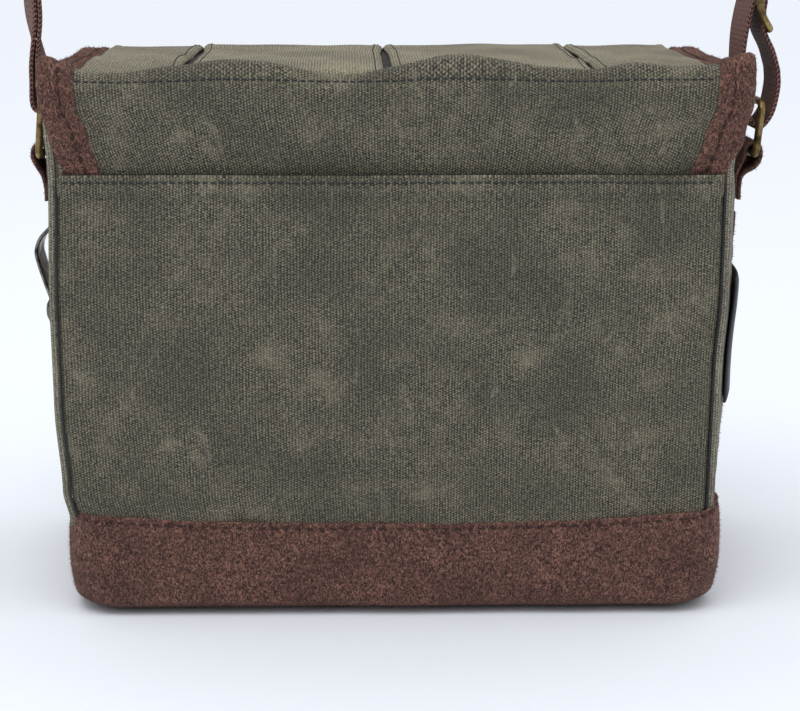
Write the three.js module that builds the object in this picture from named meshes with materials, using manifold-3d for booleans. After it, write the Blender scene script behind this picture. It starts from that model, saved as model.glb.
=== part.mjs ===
// Camera bag: a small messenger bag in waxed canvas and suede, with a padded insert, a hinged flap and a webbing strap.
// Millimetres. +X is the bag's right seen from behind, +Y is its front, +Z is up.
// The origin is the centre of the base's underside.
import * as THREE from 'three';
import { mergeVertices } from 'three/addons/utils/BufferGeometryUtils.js';
import Module from 'manifold-3d';

// Driving dimensions
const GAP = 0.3;                  // between pieces that touch
const BOOT_HALF_WIDTH = 128;
const BOOT_HALF_DEPTH = 66;
const BOOT_HEIGHT = 37;
const BOOT_CORNER = 14;
const SUEDE = 2;
const WALL_TOP = 198;             // top edge of the canvas walls
const WALL_HALF_WIDTH = 125;
const BACK_PANEL_Y = [-54.4, -49.4];
const FRONT_PANEL_Y = [49.4, 54];
const BACK_POCKET_Y = [-63.7, -62];
const BACK_POCKET_Z = [2.3, 172];
const BACK_POCKET_HALF_WIDTH = [125, 129.5];   // at the base, at the mouth
const FRONT_POCKET_Y = [58.6, 60.8];
const FRONT_POCKET_Z = [2.3, 165];
const GUSSET_THICK = 4.7;
const GUSSET_HALF_DEPTH = 49;
const GUSSET_OUTER_X = [126, 137.8];           // at the base, from the bulge up
const GUSSET_BULGE_Z = 118;
const INSERT_HALF_WIDTH = 118;
const INSERT_HALF_DEPTH = 47;
const INSERT_WALL = 7;
const INSERT_Z = [5.5, 150];
const INSERT_FLOOR = 6;
const DIVIDER_X = 38;
const DIVIDER_THICK = 6;
const DIVIDER_TOP = 135;
const FLAP_HALF_WIDTH = 134.5;
const BAND_WIDTH = 14.2;
const FLAP_THICK = 2.5;
const FLAP_ROOT_Y = [-57.3, -54.8];
const FLAP_ROOT_Z = [150, 202.8];
const FLAP_TOP_Y = [-53.4, 64.4];
const FLAP_TOP_Z = [204, 206.5];
const FLAP_FRONT_Y = [64.8, 67.3];
const FLAP_FRONT_Z = [62, 202.8];
const LINING = 1.1;
const TOP_PANEL_EDGES = [-120, -80, -3, 75, 120];   // the slits between the hemmed panels
const TOP_PANEL_SLIT = 1.6;
const TOP_PANEL_THICK = 2.4;
const CLOSURE_X = 62;
const TAB_HALF_WIDTH = 12.5;
const RING_BAR = 3;
const RING_WIDTH = 33;            // along Y
const RING_PIVOTS = 21;           // between its lower and upper bars
const RING_X = 148;
const RING_PIVOT_Z = 174.5;
const RING_LEAN = THREE.MathUtils.degToRad(5);
const BAR_HOLE = 2.8;
const WEBBING_HALF_WIDTH = 12.5;
const WEBBING = 1.8;
const STRAP_LEAN = THREE.MathUtils.degToRad(5);
const LEG_LENGTH = 205;
const SLIDER_AT = 42;             // along the leg, from the ring's upper bar
const SLIDER_LENGTH = 24;

const wasm = await Module();
wasm.setup();

const finish = (color, roughness, metalness = 0) => ({ color, roughness, metalness });
const CANVAS = finish(0x57544b, 0.85);
const SUEDE_BROWN = finish(0x563f3a, 0.95);
const WEBBING_BROWN = finish(0x5a3a30, 0.8);
const LINING_GREY = finish(0x4b4c4a, 0.8);
const FELT = finish(0x6a6a66, 0.95);
const BRASS = finish(0x7a6a48, 0.4, 1);
const NICKEL = finish(0x56524e, 0.35, 1);
const BLACK_RUBBER = finish(0x15161a, 0.6);
const BOARD = finish(0x2c2c2e, 0.7);

const group = new THREE.Group();

/** Adds one named piece to the bag and returns its mesh. */
function piece(name, geometry, surface, parent = group) {
  const mesh = new THREE.Mesh(geometry, new THREE.MeshStandardMaterial(surface));
  mesh.name = name;
  parent.add(mesh);
  return mesh;
}

/** A box between two values on each axis. */
function block([x0, x1], [y0, y1], [z0, z1]) {
  const geometry = new THREE.BoxGeometry(x1 - x0, y1 - y0, z1 - z0);
  return geometry.translate((x0 + x1) / 2, (y0 + y1) / 2, (z0 + z1) / 2);
}

/** Turns a shape drawn as (x, z) into a solid between two values of y. */
function acrossDepth(shape, [y0, y1], curveSegments = 8) {
  const geometry = new THREE.ExtrudeGeometry(shape, { depth: y1 - y0, bevelEnabled: false, curveSegments });
  return geometry.rotateX(Math.PI / 2).translate(0, y1, 0);
}

/** Turns a shape drawn as (x, y) into a solid between two values of z. */
function upright(shape, [z0, z1], curveSegments = 6) {
  const geometry = new THREE.ExtrudeGeometry(shape, { depth: z1 - z0, bevelEnabled: false, curveSegments });
  return geometry.translate(0, 0, z0);
}

/** Turns a shape drawn as (y, z) into a solid between two values of x. */
function acrossWidth(shape, [x0, x1], curveSegments = 6) {
  const geometry = new THREE.ExtrudeGeometry(shape, { depth: x1 - x0, bevelEnabled: false, curveSegments });
  const turn = new THREE.Matrix4().makeBasis(
    new THREE.Vector3(0, 1, 0), new THREE.Vector3(0, 0, 1), new THREE.Vector3(1, 0, 0));
  return geometry.applyMatrix4(turn).translate(x0, 0, 0);
}

/** A closed outline through corner points. */
function outline(points) {
  return new THREE.Shape(points.map(([a, b]) => new THREE.Vector2(a, b)));
}

/** A rectangle with round corners, centred on (0, 0). */
function roundRectangle(width, height, radius, Kind = THREE.Shape) {
  const [w, h] = [width / 2, height / 2];
  const path = new Kind();
  path.moveTo(w, -h + radius);
  path.lineTo(w, h - radius);
  path.absarc(w - radius, h - radius, radius, 0, Math.PI / 2);
  path.lineTo(-w + radius, h);
  path.absarc(-w + radius, h - radius, radius, Math.PI / 2, Math.PI);
  path.lineTo(-w, -h + radius);
  path.absarc(-w + radius, -h + radius, radius, Math.PI, Math.PI * 1.5);
  path.lineTo(w - radius, -h);
  path.absarc(w - radius, -h + radius, radius, Math.PI * 1.5, Math.PI * 2);
  return path;
}

/** A solid for cutting and joining. */
function solid(geometry) {
  const bare = geometry.clone();
  bare.deleteAttribute('normal');
  bare.deleteAttribute('uv');
  const merged = mergeVertices(bare, 1e-4);
  return new wasm.Manifold(new wasm.Mesh({
    numProp: 3,
    vertProperties: new Float32Array(merged.attributes.position.array),
    triVerts: new Uint32Array(merged.index.array),
  }));
}

/** The geometry of a cut or joined solid. */
function geometryOf(body) {
  const { vertProperties, triVerts } = body.getMesh();
  const geometry = new THREE.BufferGeometry();
  geometry.setAttribute('position', new THREE.BufferAttribute(vertProperties, 3));
  geometry.setIndex(new THREE.BufferAttribute(triVerts, 1));
  geometry.computeVertexNormals();
  return geometry;
}

/** The first geometry with the others cut out of it. */
function cut(geometry, ...tools) {
  return geometryOf(tools.reduce((body, tool) => body.subtract(solid(tool)), solid(geometry)));
}

/** The geometries joined into one. */
function join(...parts) {
  return geometryOf(parts.map(solid).reduce((body, part) => body.add(part)));
}

/** Mirrors points drawn for the right-hand side when side is -1, keeping their turning direction. */
function onSide(points, side) {
  const moved = points.map(([x, z]) => [side * x, z]);
  return side > 0 ? moved : moved.reverse();
}

/** A disc or button whose axis runs along y. */
function button(radius, x, z, [y0, y1]) {
  const geometry = new THREE.CylinderGeometry(radius, radius, y1 - y0, 20);
  return geometry.translate(x, (y0 + y1) / 2, z);
}

// Base: a suede boot with a stiff board in it
function makeBase() {
  const outer = upright(roundRectangle(2 * BOOT_HALF_WIDTH, 2 * BOOT_HALF_DEPTH, BOOT_CORNER), [0, BOOT_HEIGHT]);
  const inner = upright(
    roundRectangle(2 * (BOOT_HALF_WIDTH - SUEDE), 2 * (BOOT_HALF_DEPTH - SUEDE), BOOT_CORNER - SUEDE),
    [SUEDE, BOOT_HEIGHT + 1]);
  piece('base_boot', cut(outer, inner), SUEDE_BROWN);
  const board = roundRectangle(2 * INSERT_HALF_WIDTH, 2 * INSERT_HALF_DEPTH, 4);
  piece('base_board', upright(board, [SUEDE + GAP, INSERT_Z[0] - GAP]), BOARD);
}

// Walls: front and back panels, their slip pockets, and the two gussets
function makeWalls() {
  const wallBottom = SUEDE + GAP;
  const wall = outline([
    [-WALL_HALF_WIDTH, wallBottom], [WALL_HALF_WIDTH, wallBottom], [WALL_HALF_WIDTH, BOOT_HEIGHT + GAP],
    [WALL_HALF_WIDTH + 6, GUSSET_BULGE_Z], [WALL_HALF_WIDTH + 6, WALL_TOP],
    [-WALL_HALF_WIDTH - 6, WALL_TOP], [-WALL_HALF_WIDTH - 6, GUSSET_BULGE_Z], [-WALL_HALF_WIDTH, BOOT_HEIGHT + GAP],
  ]);
  piece('back_panel', acrossDepth(wall, BACK_PANEL_Y), CANVAS);
  piece('front_panel', acrossDepth(wall, FRONT_PANEL_Y), CANVAS);
  const [low, high] = BACK_POCKET_HALF_WIDTH;
  const pocketCorner = BOOT_CORNER - SUEDE;
  const pocket = ([z0, z1]) => outline([
    [-low + pocketCorner, z0], [low - pocketCorner, z0], [low - pocketCorner, BOOT_HEIGHT + GAP],
    [low, BOOT_HEIGHT + GAP], [high, z1], [-high, z1], [-low, BOOT_HEIGHT + GAP],
    [-low + pocketCorner, BOOT_HEIGHT + GAP],
  ]);
  piece('back_pocket', acrossDepth(pocket(BACK_POCKET_Z), BACK_POCKET_Y), CANVAS);
  piece('front_pocket', acrossDepth(pocket(FRONT_POCKET_Z), FRONT_POCKET_Y), CANVAS);
  const [base, bulge] = GUSSET_OUTER_X;
  const gusset = [
    [base - GUSSET_THICK, wallBottom], [base - GAP, wallBottom], [base - GAP, BOOT_HEIGHT + GAP],
    [bulge, GUSSET_BULGE_Z], [bulge, WALL_TOP], [bulge - GUSSET_THICK, WALL_TOP],
    [bulge - GUSSET_THICK, GUSSET_BULGE_Z], [base - GUSSET_THICK, BOOT_HEIGHT + GAP],
  ];
  const depth = [-GUSSET_HALF_DEPTH, GUSSET_HALF_DEPTH];
  piece('gusset_left', acrossDepth(outline(onSide(gusset, -1)), depth), CANVAS);
  piece('gusset_right', acrossDepth(outline(onSide(gusset, 1)), depth), CANVAS);
}

// Insert: five padded panels and two dividers held by hook and loop
function makeInsert() {
  const [z0, z1] = INSERT_Z;
  const [w, d, t] = [INSERT_HALF_WIDTH, INSERT_HALF_DEPTH, INSERT_WALL];
  const wallZ = [z0 + INSERT_FLOOR + GAP, z1];
  piece('insert_floor', block([-w, w], [-d, d], [z0, z0 + INSERT_FLOOR]), FELT);
  piece('insert_back', block([-w, w], [-d, -d + t], wallZ), FELT);
  piece('insert_front', block([-w, w], [d - t, d], wallZ), FELT);
  const sideY = [-d + t + GAP, d - t - GAP];
  piece('insert_left', block([-w, -w + t], sideY, wallZ), FELT);
  piece('insert_right', block([w - t, w], sideY, wallZ), FELT);
  const half = DIVIDER_THICK / 2;
  const dividerZ = [wallZ[0] + GAP, DIVIDER_TOP];
  for (const [name, x] of [['divider_left', -DIVIDER_X], ['divider_right', DIVIDER_X]]) {
    piece(name, block([x - half, x + half], sideY, dividerZ), FELT);
  }
}

// Sides: the left pocket with its metal clip, the right suede strip with its blank patch
function makeSides() {
  const [base, bulge] = GUSSET_OUTER_X;
  const foot = BOOT_HEIGHT + 6;
  const mouth = 114;
  const stand = 8.4;
  const slope = (z) => base + (bulge - base) * (z - BOOT_HEIGHT) / (GUSSET_BULGE_Z - BOOT_HEIGHT);
  const skin = [[slope(foot) + GAP, foot], [slope(foot) + 4, foot], [slope(70) + stand, 70],
    [slope(mouth) + stand, mouth], [slope(mouth) + GAP, mouth]];
  const hollow = [[slope(foot + 6) + GAP, foot + 6], [slope(70) + stand - 2, 70],
    [slope(mouth + 1) + stand - 2, mouth + 1], [slope(mouth + 1) - 2, mouth + 1], [slope(foot + 6) - 2, foot + 6]];
  const pocket = acrossDepth(outline(onSide(skin, -1)), [-34, 34]);
  const inside = acrossDepth(outline(onSide(hollow, -1)), [-32, 32]);
  piece('side_pocket_left', cut(pocket, inside), CANVAS);
  // The clip is a flat metal bow that stands over the pocket's mouth.
  const clipArc = (radius, bow) => {
    const points = [];
    for (let i = 0; i <= 12; i++) {
      const angle = Math.PI * (i / 12);
      points.push([-bulge - GAP - bow * Math.sin(angle), 130 - radius * Math.cos(angle)]);
    }
    return points;
  };
  const clip = outline([...clipArc(14, 6.6), ...clipArc(12.2, 5).reverse()]);
  piece('side_clip', acrossDepth(clip, [-9, 9]), NICKEL);
  const strip = (z0, z1, inner, outer) => [[slope(z0) + inner, z0], [slope(z0) + outer, z0],
    [slope(z1) + outer, z1], [slope(z1) + inner, z1]];
  piece('side_strip_right', acrossDepth(outline(strip(BOOT_HEIGHT + 1, 117, GAP, 2.2)), [-13, 13]), SUEDE_BROWN);
  piece('side_patch_right', acrossDepth(outline(strip(78, 116, 2.5, 4.6)), [-15, 15]), BLACK_RUBBER);
}

// Rings: each hangs on a suede tab sewn to its gusset
function makeTab(name, side) {
  const inner = GUSSET_OUTER_X[1] + GAP;
  const points = [[inner, 146], [inner + 2.2, 146], [inner + 3, 166]];
  const reach = 4.6;
  for (let i = 0; i <= 10; i++) {
    const angle = THREE.MathUtils.degToRad(-50 + 21 * i);
    points.push([RING_X + reach * Math.cos(angle), RING_PIVOT_Z + reach * Math.sin(angle)]);
  }
  points.push([inner, 178]);
  const shape = outline(onSide(points, side));
  const hole = new THREE.Path();
  hole.absarc(side * RING_X, RING_PIVOT_Z, BAR_HOLE, 0, Math.PI * 2);
  shape.holes.push(hole);
  piece(name, acrossDepth(shape, [-TAB_HALF_WIDTH, TAB_HALF_WIDTH], 12), SUEDE_BROWN);
}

function makeRing(name, side) {
  const height = RING_PIVOTS + RING_BAR;
  const shape = roundRectangle(RING_WIDTH, height, 4);
  shape.holes.push(roundRectangle(RING_WIDTH - 2 * RING_BAR, height - 2 * RING_BAR, 1, THREE.Path));
  const geometry = acrossWidth(shape, [-RING_BAR / 2, RING_BAR / 2]);
  geometry.translate(0, 0, RING_PIVOTS / 2).rotateY(RING_LEAN).translate(side * RING_X, 0, RING_PIVOT_Z);
  piece(name, geometry, BRASS);
}

// Strap: two straight legs joined by a half circle, and a sliding buckle on the right leg
/** Where a ring's upper bar is. */
function upperBar(side) {
  return new THREE.Vector2(
    side * RING_X + RING_PIVOTS * Math.sin(RING_LEAN), RING_PIVOT_Z + RING_PIVOTS * Math.cos(RING_LEAN));
}

/** A point on a leg's frame: along it from the upper bar, and off its middle towards the outside. */
function onLeg(side, along, off) {
  const bar = upperBar(side);
  return [
    bar.x + side * (along * Math.sin(STRAP_LEAN) + off * Math.cos(STRAP_LEAN)),
    bar.y + along * Math.cos(STRAP_LEAN) - off * Math.sin(STRAP_LEAN),
  ];
}

/** The end that is turned round the ring's upper bar. */
function loop(side, top, outer, inner) {
  const reach = BAR_HOLE + WEBBING;
  const points = [];
  for (let i = 0; i <= 12; i++) {
    const angle = Math.PI * (i / 12);
    points.push(onLeg(side, -reach * Math.sin(angle), -reach * Math.cos(angle)));
  }
  points.push(onLeg(side, 12, outer), onLeg(side, top, outer), onLeg(side, top, inner), onLeg(side, 12, inner));
  const shape = outline(side > 0 ? points : [...points].reverse());
  const hole = new THREE.Path();
  const bar = upperBar(side);
  hole.absarc(bar.x, bar.y, BAR_HOLE, 0, Math.PI * 2);
  shape.holes.push(hole);
  return acrossDepth(shape, [-WEBBING_HALF_WIDTH, WEBBING_HALF_WIDTH], 12);
}

/** A straight flat run along a leg. */
function run(side, from, to, low, high, halfWidth = WEBBING_HALF_WIDTH) {
  const corners = [onLeg(side, from, low), onLeg(side, from, high), onLeg(side, to, high), onLeg(side, to, low)];
  return acrossDepth(outline(side > 0 ? [...corners].reverse() : corners), [-halfWidth, halfWidth]);
}

function makeStrap() {
  const half = WEBBING / 2;
  const returnLow = -half - GAP - WEBBING;
  piece('strap_left_leg', join(loop(-1, 30, half, -half - WEBBING), run(-1, 25, LEG_LENGTH, -half, half)),
    WEBBING_BROWN);
  const loopTop = 20;
  piece('strap_right_leg',
    join(loop(1, loopTop, half, -half - WEBBING), run(1, loopTop - 5, LEG_LENGTH, -half, half)), WEBBING_BROWN);
  const sewnTo = SLIDER_AT - SLIDER_LENGTH / 2 + RING_BAR;
  piece('strap_return', run(1, loopTop + GAP, sewnTo, returnLow, -half - GAP), WEBBING_BROWN);
  // The top is an arc that goes on from both legs without a corner.
  const [leftX, z] = onLeg(-1, LEG_LENGTH + GAP, 0);
  const [rightX] = onLeg(1, LEG_LENGTH + GAP, 0);
  const middle = (leftX + rightX) / 2;
  const radius = (rightX - leftX) / 2 / Math.cos(STRAP_LEAN);
  const centreZ = z + radius * Math.sin(STRAP_LEAN);
  const arc = (r) => {
    const points = [];
    const steps = 28;
    for (let i = 0; i <= steps; i++) {
      const angle = -STRAP_LEAN + (Math.PI + 2 * STRAP_LEAN) * (i / steps);
      points.push([middle + r * Math.cos(angle), centreZ + r * Math.sin(angle)]);
    }
    return points;
  };
  const arch = outline([...arc(radius + half), ...arc(radius - half).reverse()]);
  piece('strap_arch', acrossDepth(arch, [-WEBBING_HALF_WIDTH, WEBBING_HALF_WIDTH]), WEBBING_BROWN);
}

/** The bowed slider: two end bars outside the webbing, a centre bar inside it, and rails past its edges. */
function makeSlider() {
  const from = SLIDER_AT - SLIDER_LENGTH / 2;
  const to = SLIDER_AT + SLIDER_LENGTH / 2;
  const outer = [WEBBING / 2 + GAP, WEBBING / 2 + GAP + RING_BAR];
  const inner = [-WEBBING / 2 - GAP - RING_BAR, -WEBBING / 2 - GAP];
  const railY = [WEBBING_HALF_WIDTH + 0.6, WEBBING_HALF_WIDTH + 0.6 + RING_BAR];
  const endBar = (start) => run(1, start, start + RING_BAR, ...outer, railY[1]);
  const centre = run(1, SLIDER_AT - RING_BAR / 2, SLIDER_AT + RING_BAR / 2, ...inner, railY[1]);
  const rail = run(1, from, to, inner[0], outer[1], railY[1]);
  const between = run(1, from - 1, to + 1, inner[0] - 1, outer[1] + 1, railY[0]);
  const frame = solid(rail).subtract(solid(between));
  const bars = [endBar(from), endBar(to - RING_BAR), centre].map(solid);
  piece('strap_slider', geometryOf(bars.reduce((body, bar) => body.add(bar), frame)), BRASS);
}

// Flap: a root sewn to the back, a top and a front, each of canvas with suede bands at both sides
function makeFlap() {
  const canvasHalf = FLAP_HALF_WIDTH - BAND_WIDTH;
  const rootHalf = [FLAP_HALF_WIDTH - 4.5, FLAP_HALF_WIDTH];
  const rootCanvas = outline([
    [-rootHalf[0] + BAND_WIDTH, FLAP_ROOT_Z[0]], [rootHalf[0] - BAND_WIDTH, FLAP_ROOT_Z[0]],
    [canvasHalf, FLAP_ROOT_Z[1]], [-canvasHalf, FLAP_ROOT_Z[1]]]);
  piece('flap_back_canvas', acrossDepth(rootCanvas, FLAP_ROOT_Y), CANVAS);
  const rootBand = [
    [rootHalf[0] - BAND_WIDTH + GAP, FLAP_ROOT_Z[0]], [rootHalf[0], FLAP_ROOT_Z[0]],
    [rootHalf[1], FLAP_ROOT_Z[1]], [canvasHalf + GAP, FLAP_ROOT_Z[1]]];
  const canvasX = [-canvasHalf, canvasHalf];
  piece('flap_top_canvas', block(canvasX, FLAP_TOP_Y, FLAP_TOP_Z), CANVAS);
  piece('flap_front_canvas', block(canvasX, FLAP_FRONT_Y, [FLAP_FRONT_Z[0] + BAND_WIDTH, FLAP_FRONT_Z[1]]), CANVAS);
  const hemZ = [FLAP_FRONT_Z[0], FLAP_FRONT_Z[0] + BAND_WIDTH - GAP];
  piece('flap_front_hem', block([-FLAP_HALF_WIDTH, FLAP_HALF_WIDTH], FLAP_FRONT_Y, hemZ), SUEDE_BROWN);
  for (const [word, side] of [['left', -1], ['right', 1]]) {
    const bandX = [canvasHalf + GAP, FLAP_HALF_WIDTH].map((x) => side * x).sort((a, b) => a - b);
    piece(`flap_back_band_${word}`, acrossDepth(outline(onSide(rootBand, side)), FLAP_ROOT_Y), SUEDE_BROWN);
    piece(`flap_top_band_${word}`, block(bandX, FLAP_TOP_Y, FLAP_TOP_Z), SUEDE_BROWN);
    piece(`flap_front_band_${word}`,
      block(bandX, FLAP_FRONT_Y, [FLAP_FRONT_Z[0] + BAND_WIDTH, FLAP_FRONT_Z[1]]), SUEDE_BROWN);
  }
  const liningX = [-FLAP_HALF_WIDTH + 3, FLAP_HALF_WIDTH - 3];
  piece('flap_top_lining',
    block(liningX, [FLAP_TOP_Y[0] + 5, FLAP_TOP_Y[1] - 5], [FLAP_TOP_Z[0] - GAP - LINING, FLAP_TOP_Z[0] - GAP]),
    LINING_GREY);
  piece('flap_front_lining',
    block(liningX, [FLAP_FRONT_Y[0] - GAP - LINING, FLAP_FRONT_Y[0] - GAP], [FLAP_FRONT_Z[0] + 3, 199]),
    LINING_GREY);
  const panelZ = [FLAP_TOP_Z[1] + GAP, FLAP_TOP_Z[1] + GAP + TOP_PANEL_THICK];
  for (let i = 1; i < TOP_PANEL_EDGES.length; i++) {
    const x = [TOP_PANEL_EDGES[i - 1] + TOP_PANEL_SLIT / 2, TOP_PANEL_EDGES[i] - TOP_PANEL_SLIT / 2];
    piece(`flap_top_panel_${i}`, block(x, [FLAP_TOP_Y[0] + 4, FLAP_TOP_Y[1] - 2], panelZ), CANVAS);
  }
}

// Closure: two suede tabs with press studs
function makeClosure() {
  const tabY = [FLAP_FRONT_Y[1] + GAP, FLAP_FRONT_Y[1] + GAP + SUEDE];
  const liningY = FLAP_FRONT_Y[0] - GAP - LINING;
  const studZ = 84;
  for (const [word, side] of [['left', -1], ['right', 1]]) {
    const x = side * CLOSURE_X;
    const tab = upright(roundRectangle(26, 62, 12.9), tabY, 8);
    tab.rotateX(Math.PI / 2).translate(x, tabY[0] + tabY[1], 91);
    piece(`closure_tab_${word}`, tab, SUEDE_BROWN);
    piece(`snap_cap_${word}`, button(7, x, studZ, [tabY[1] + GAP, tabY[1] + GAP + 1.4]), BRASS);
    piece(`snap_socket_${word}`, button(6, x, studZ, [liningY - GAP - 0.8, liningY - GAP]), BRASS);
    piece(`snap_stud_${word}`, button(6, x, studZ, [FRONT_POCKET_Y[1] + GAP, FRONT_POCKET_Y[1] + GAP + 0.8]), BRASS);
  }
}

makeBase();
makeWalls();
makeInsert();
makeSides();
makeTab('ring_tab_left', -1);
makeTab('ring_tab_right', 1);
makeRing('ring_left', -1);
makeRing('ring_right', 1);
makeStrap();
makeSlider();
makeFlap();
makeClosure();

export default group;
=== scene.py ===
"""A small camera bag in waxed canvas and suede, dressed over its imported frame.

Every length is in metres. +Z is up, -Y is the bag's back and +X its right seen from behind.
"""

import logging
import math
import random
from dataclasses import dataclass
from enum import Enum
from functools import partial
from typing import Callable, Sequence

import bmesh
import bpy
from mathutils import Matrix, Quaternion, Vector, noise


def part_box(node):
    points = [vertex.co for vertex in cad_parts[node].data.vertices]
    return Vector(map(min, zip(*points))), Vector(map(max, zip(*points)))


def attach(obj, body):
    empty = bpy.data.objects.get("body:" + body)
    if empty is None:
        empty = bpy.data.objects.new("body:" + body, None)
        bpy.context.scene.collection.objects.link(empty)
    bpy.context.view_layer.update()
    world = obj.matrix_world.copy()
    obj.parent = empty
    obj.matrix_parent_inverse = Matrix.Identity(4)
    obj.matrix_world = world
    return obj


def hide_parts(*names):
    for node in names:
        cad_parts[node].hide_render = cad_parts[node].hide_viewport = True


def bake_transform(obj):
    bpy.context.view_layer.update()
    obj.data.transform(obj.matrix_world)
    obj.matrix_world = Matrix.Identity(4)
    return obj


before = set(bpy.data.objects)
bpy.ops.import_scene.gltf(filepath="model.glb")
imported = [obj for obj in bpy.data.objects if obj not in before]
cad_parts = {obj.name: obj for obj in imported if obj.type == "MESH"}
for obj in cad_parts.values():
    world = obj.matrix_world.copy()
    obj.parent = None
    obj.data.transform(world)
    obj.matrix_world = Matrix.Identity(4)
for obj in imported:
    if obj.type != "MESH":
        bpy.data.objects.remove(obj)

LOG = logging.getLogger("camera_bag")
MM = 0.001
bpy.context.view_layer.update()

Surface = Callable[[float, float], Vector]
Outline = Callable[[float], float]


class Side(Enum):
    """The two sides of the bag, seen from behind."""

    LEFT = -1
    RIGHT = 1

    @property
    def word(self) -> str:
        """The side's name in the frame's node names."""
        return self.name.lower()


# ---------------------------------------------------------------- small maths


def smooth(value: float, low: float, high: float) -> float:
    """Rises smoothly from 0 at low to 1 at high.

    Args:
        value: Where to read the curve.
        low: Where it leaves 0.
        high: Where it reaches 1.

    Returns:
        A number from 0 to 1.
    """
    t = min(1.0, max(0.0, (value - low) / (high - low)))
    return t * t * (3 - 2 * t)


def mix(a: float, b: float, t: float) -> float:
    """The value a share t of the way from a to b."""
    return a + (b - a) * t


def lumps(x: float, y: float, size: float, seed: float = 0.0) -> float:
    """Soft noise from about -1 to 1.

    Args:
        x: First coordinate, in metres.
        y: Second coordinate, in metres.
        size: The width of one lump, in metres.
        seed: Picks another patch of the noise.

    Returns:
        The noise there.
    """
    return noise.noise(Vector((x / size, y / size, seed * 7.31)))


def ridge(value: float, centre: float, reach: float) -> float:
    """A soft ridge: 1 at its centre and near 0 at twice its reach."""
    return math.exp(-(((value - centre) / reach) ** 2))


def profile_through(points: Sequence[tuple[float, float]]) -> Outline:
    """A smooth curve through (position, value) pairs.

    Args:
        points: The pairs, in rising position.

    Returns:
        A function from a position to a value.
    """

    def read(position: float) -> float:
        """The curve's value at a position."""
        if position <= points[0][0]:
            return points[0][1]
        for (a, va), (b, vb) in zip(points, points[1:]):
            if position <= b:
                return mix(va, vb, smooth(position, a, b))
        return points[-1][1]

    return read


# ---------------------------------------------------------------- materials


def srgb(code: str) -> tuple[float, float, float, float]:
    """Turns an sRGB hex colour to linear.

    Args:
        code: Six hex digits.

    Returns:
        Linear red, green, blue and 1.
    """
    channels = [int(code[i : i + 2], 16) / 255 for i in (0, 2, 4)]
    return (*[c / 12.92 if c <= 0.04045 else ((c + 0.055) / 1.055) ** 2.4 for c in channels], 1.0)


MATH = "ShaderNodeMath"
NOISE = "ShaderNodeTexNoise"
RANGE = "ShaderNodeMapRange"
MIX = "ShaderNodeMix"
SPLIT = "ShaderNodeSeparateXYZ"
VECTOR = "ShaderNodeVectorMath"
TURN = 2 * math.pi


def add_node(tree: bpy.types.NodeTree, kind: str, inputs: dict | None = None, out: int | str = 0,
             **settings) -> bpy.types.NodeSocket | None:
    """Adds one shader node.

    Args:
        tree: The material's node tree.
        kind: The node's type.
        inputs: By name or number, socket values, hex colours, or output sockets to link.
        out: Which of its outputs to give back.
        settings: The node's own properties.

    Returns:
        The chosen output, or None where the node has none.
    """
    node = tree.nodes.new(kind)
    for key, value in settings.items():
        setattr(node, key, value)
    for key, value in (inputs or {}).items():
        if isinstance(value, bpy.types.NodeSocket):
            tree.links.new(value, node.inputs[key])
        else:
            node.inputs[key].default_value = srgb(value) if isinstance(value, str) else value
    return node.outputs[out] if node.outputs else None


@dataclass(frozen=True)
class Finish:
    """What every finish shares: a name, a slot name, a typical roughness and IOR, and how it is built once."""

    name: str
    slot: str = ""
    roughness: float = 0.8
    ior: float = 1.5

    def material(self) -> bpy.types.Material:
        """The finish's material, made on first use."""
        found = bpy.data.materials.get(self.name)
        if found:
            return found
        material = bpy.data.materials.new(self.name)
        material.use_nodes = True
        tree = material.node_tree
        tree.nodes.clear()
        surface = add_node(tree, "ShaderNodeBsdfPrincipled", {"Roughness": self.roughness, "IOR": self.ior})
        add_node(tree, "ShaderNodeOutputMaterial", {"Surface": surface})
        self.dress(tree, surface.node)
        return material

    def dress(self, tree: bpy.types.NodeTree, shader: bpy.types.Node) -> None:
        """Adds the finish's own colour, roughness and bump.

        Args:
            tree: The material's node tree.
            shader: Its Principled shader.
        """
        raise NotImplementedError


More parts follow.
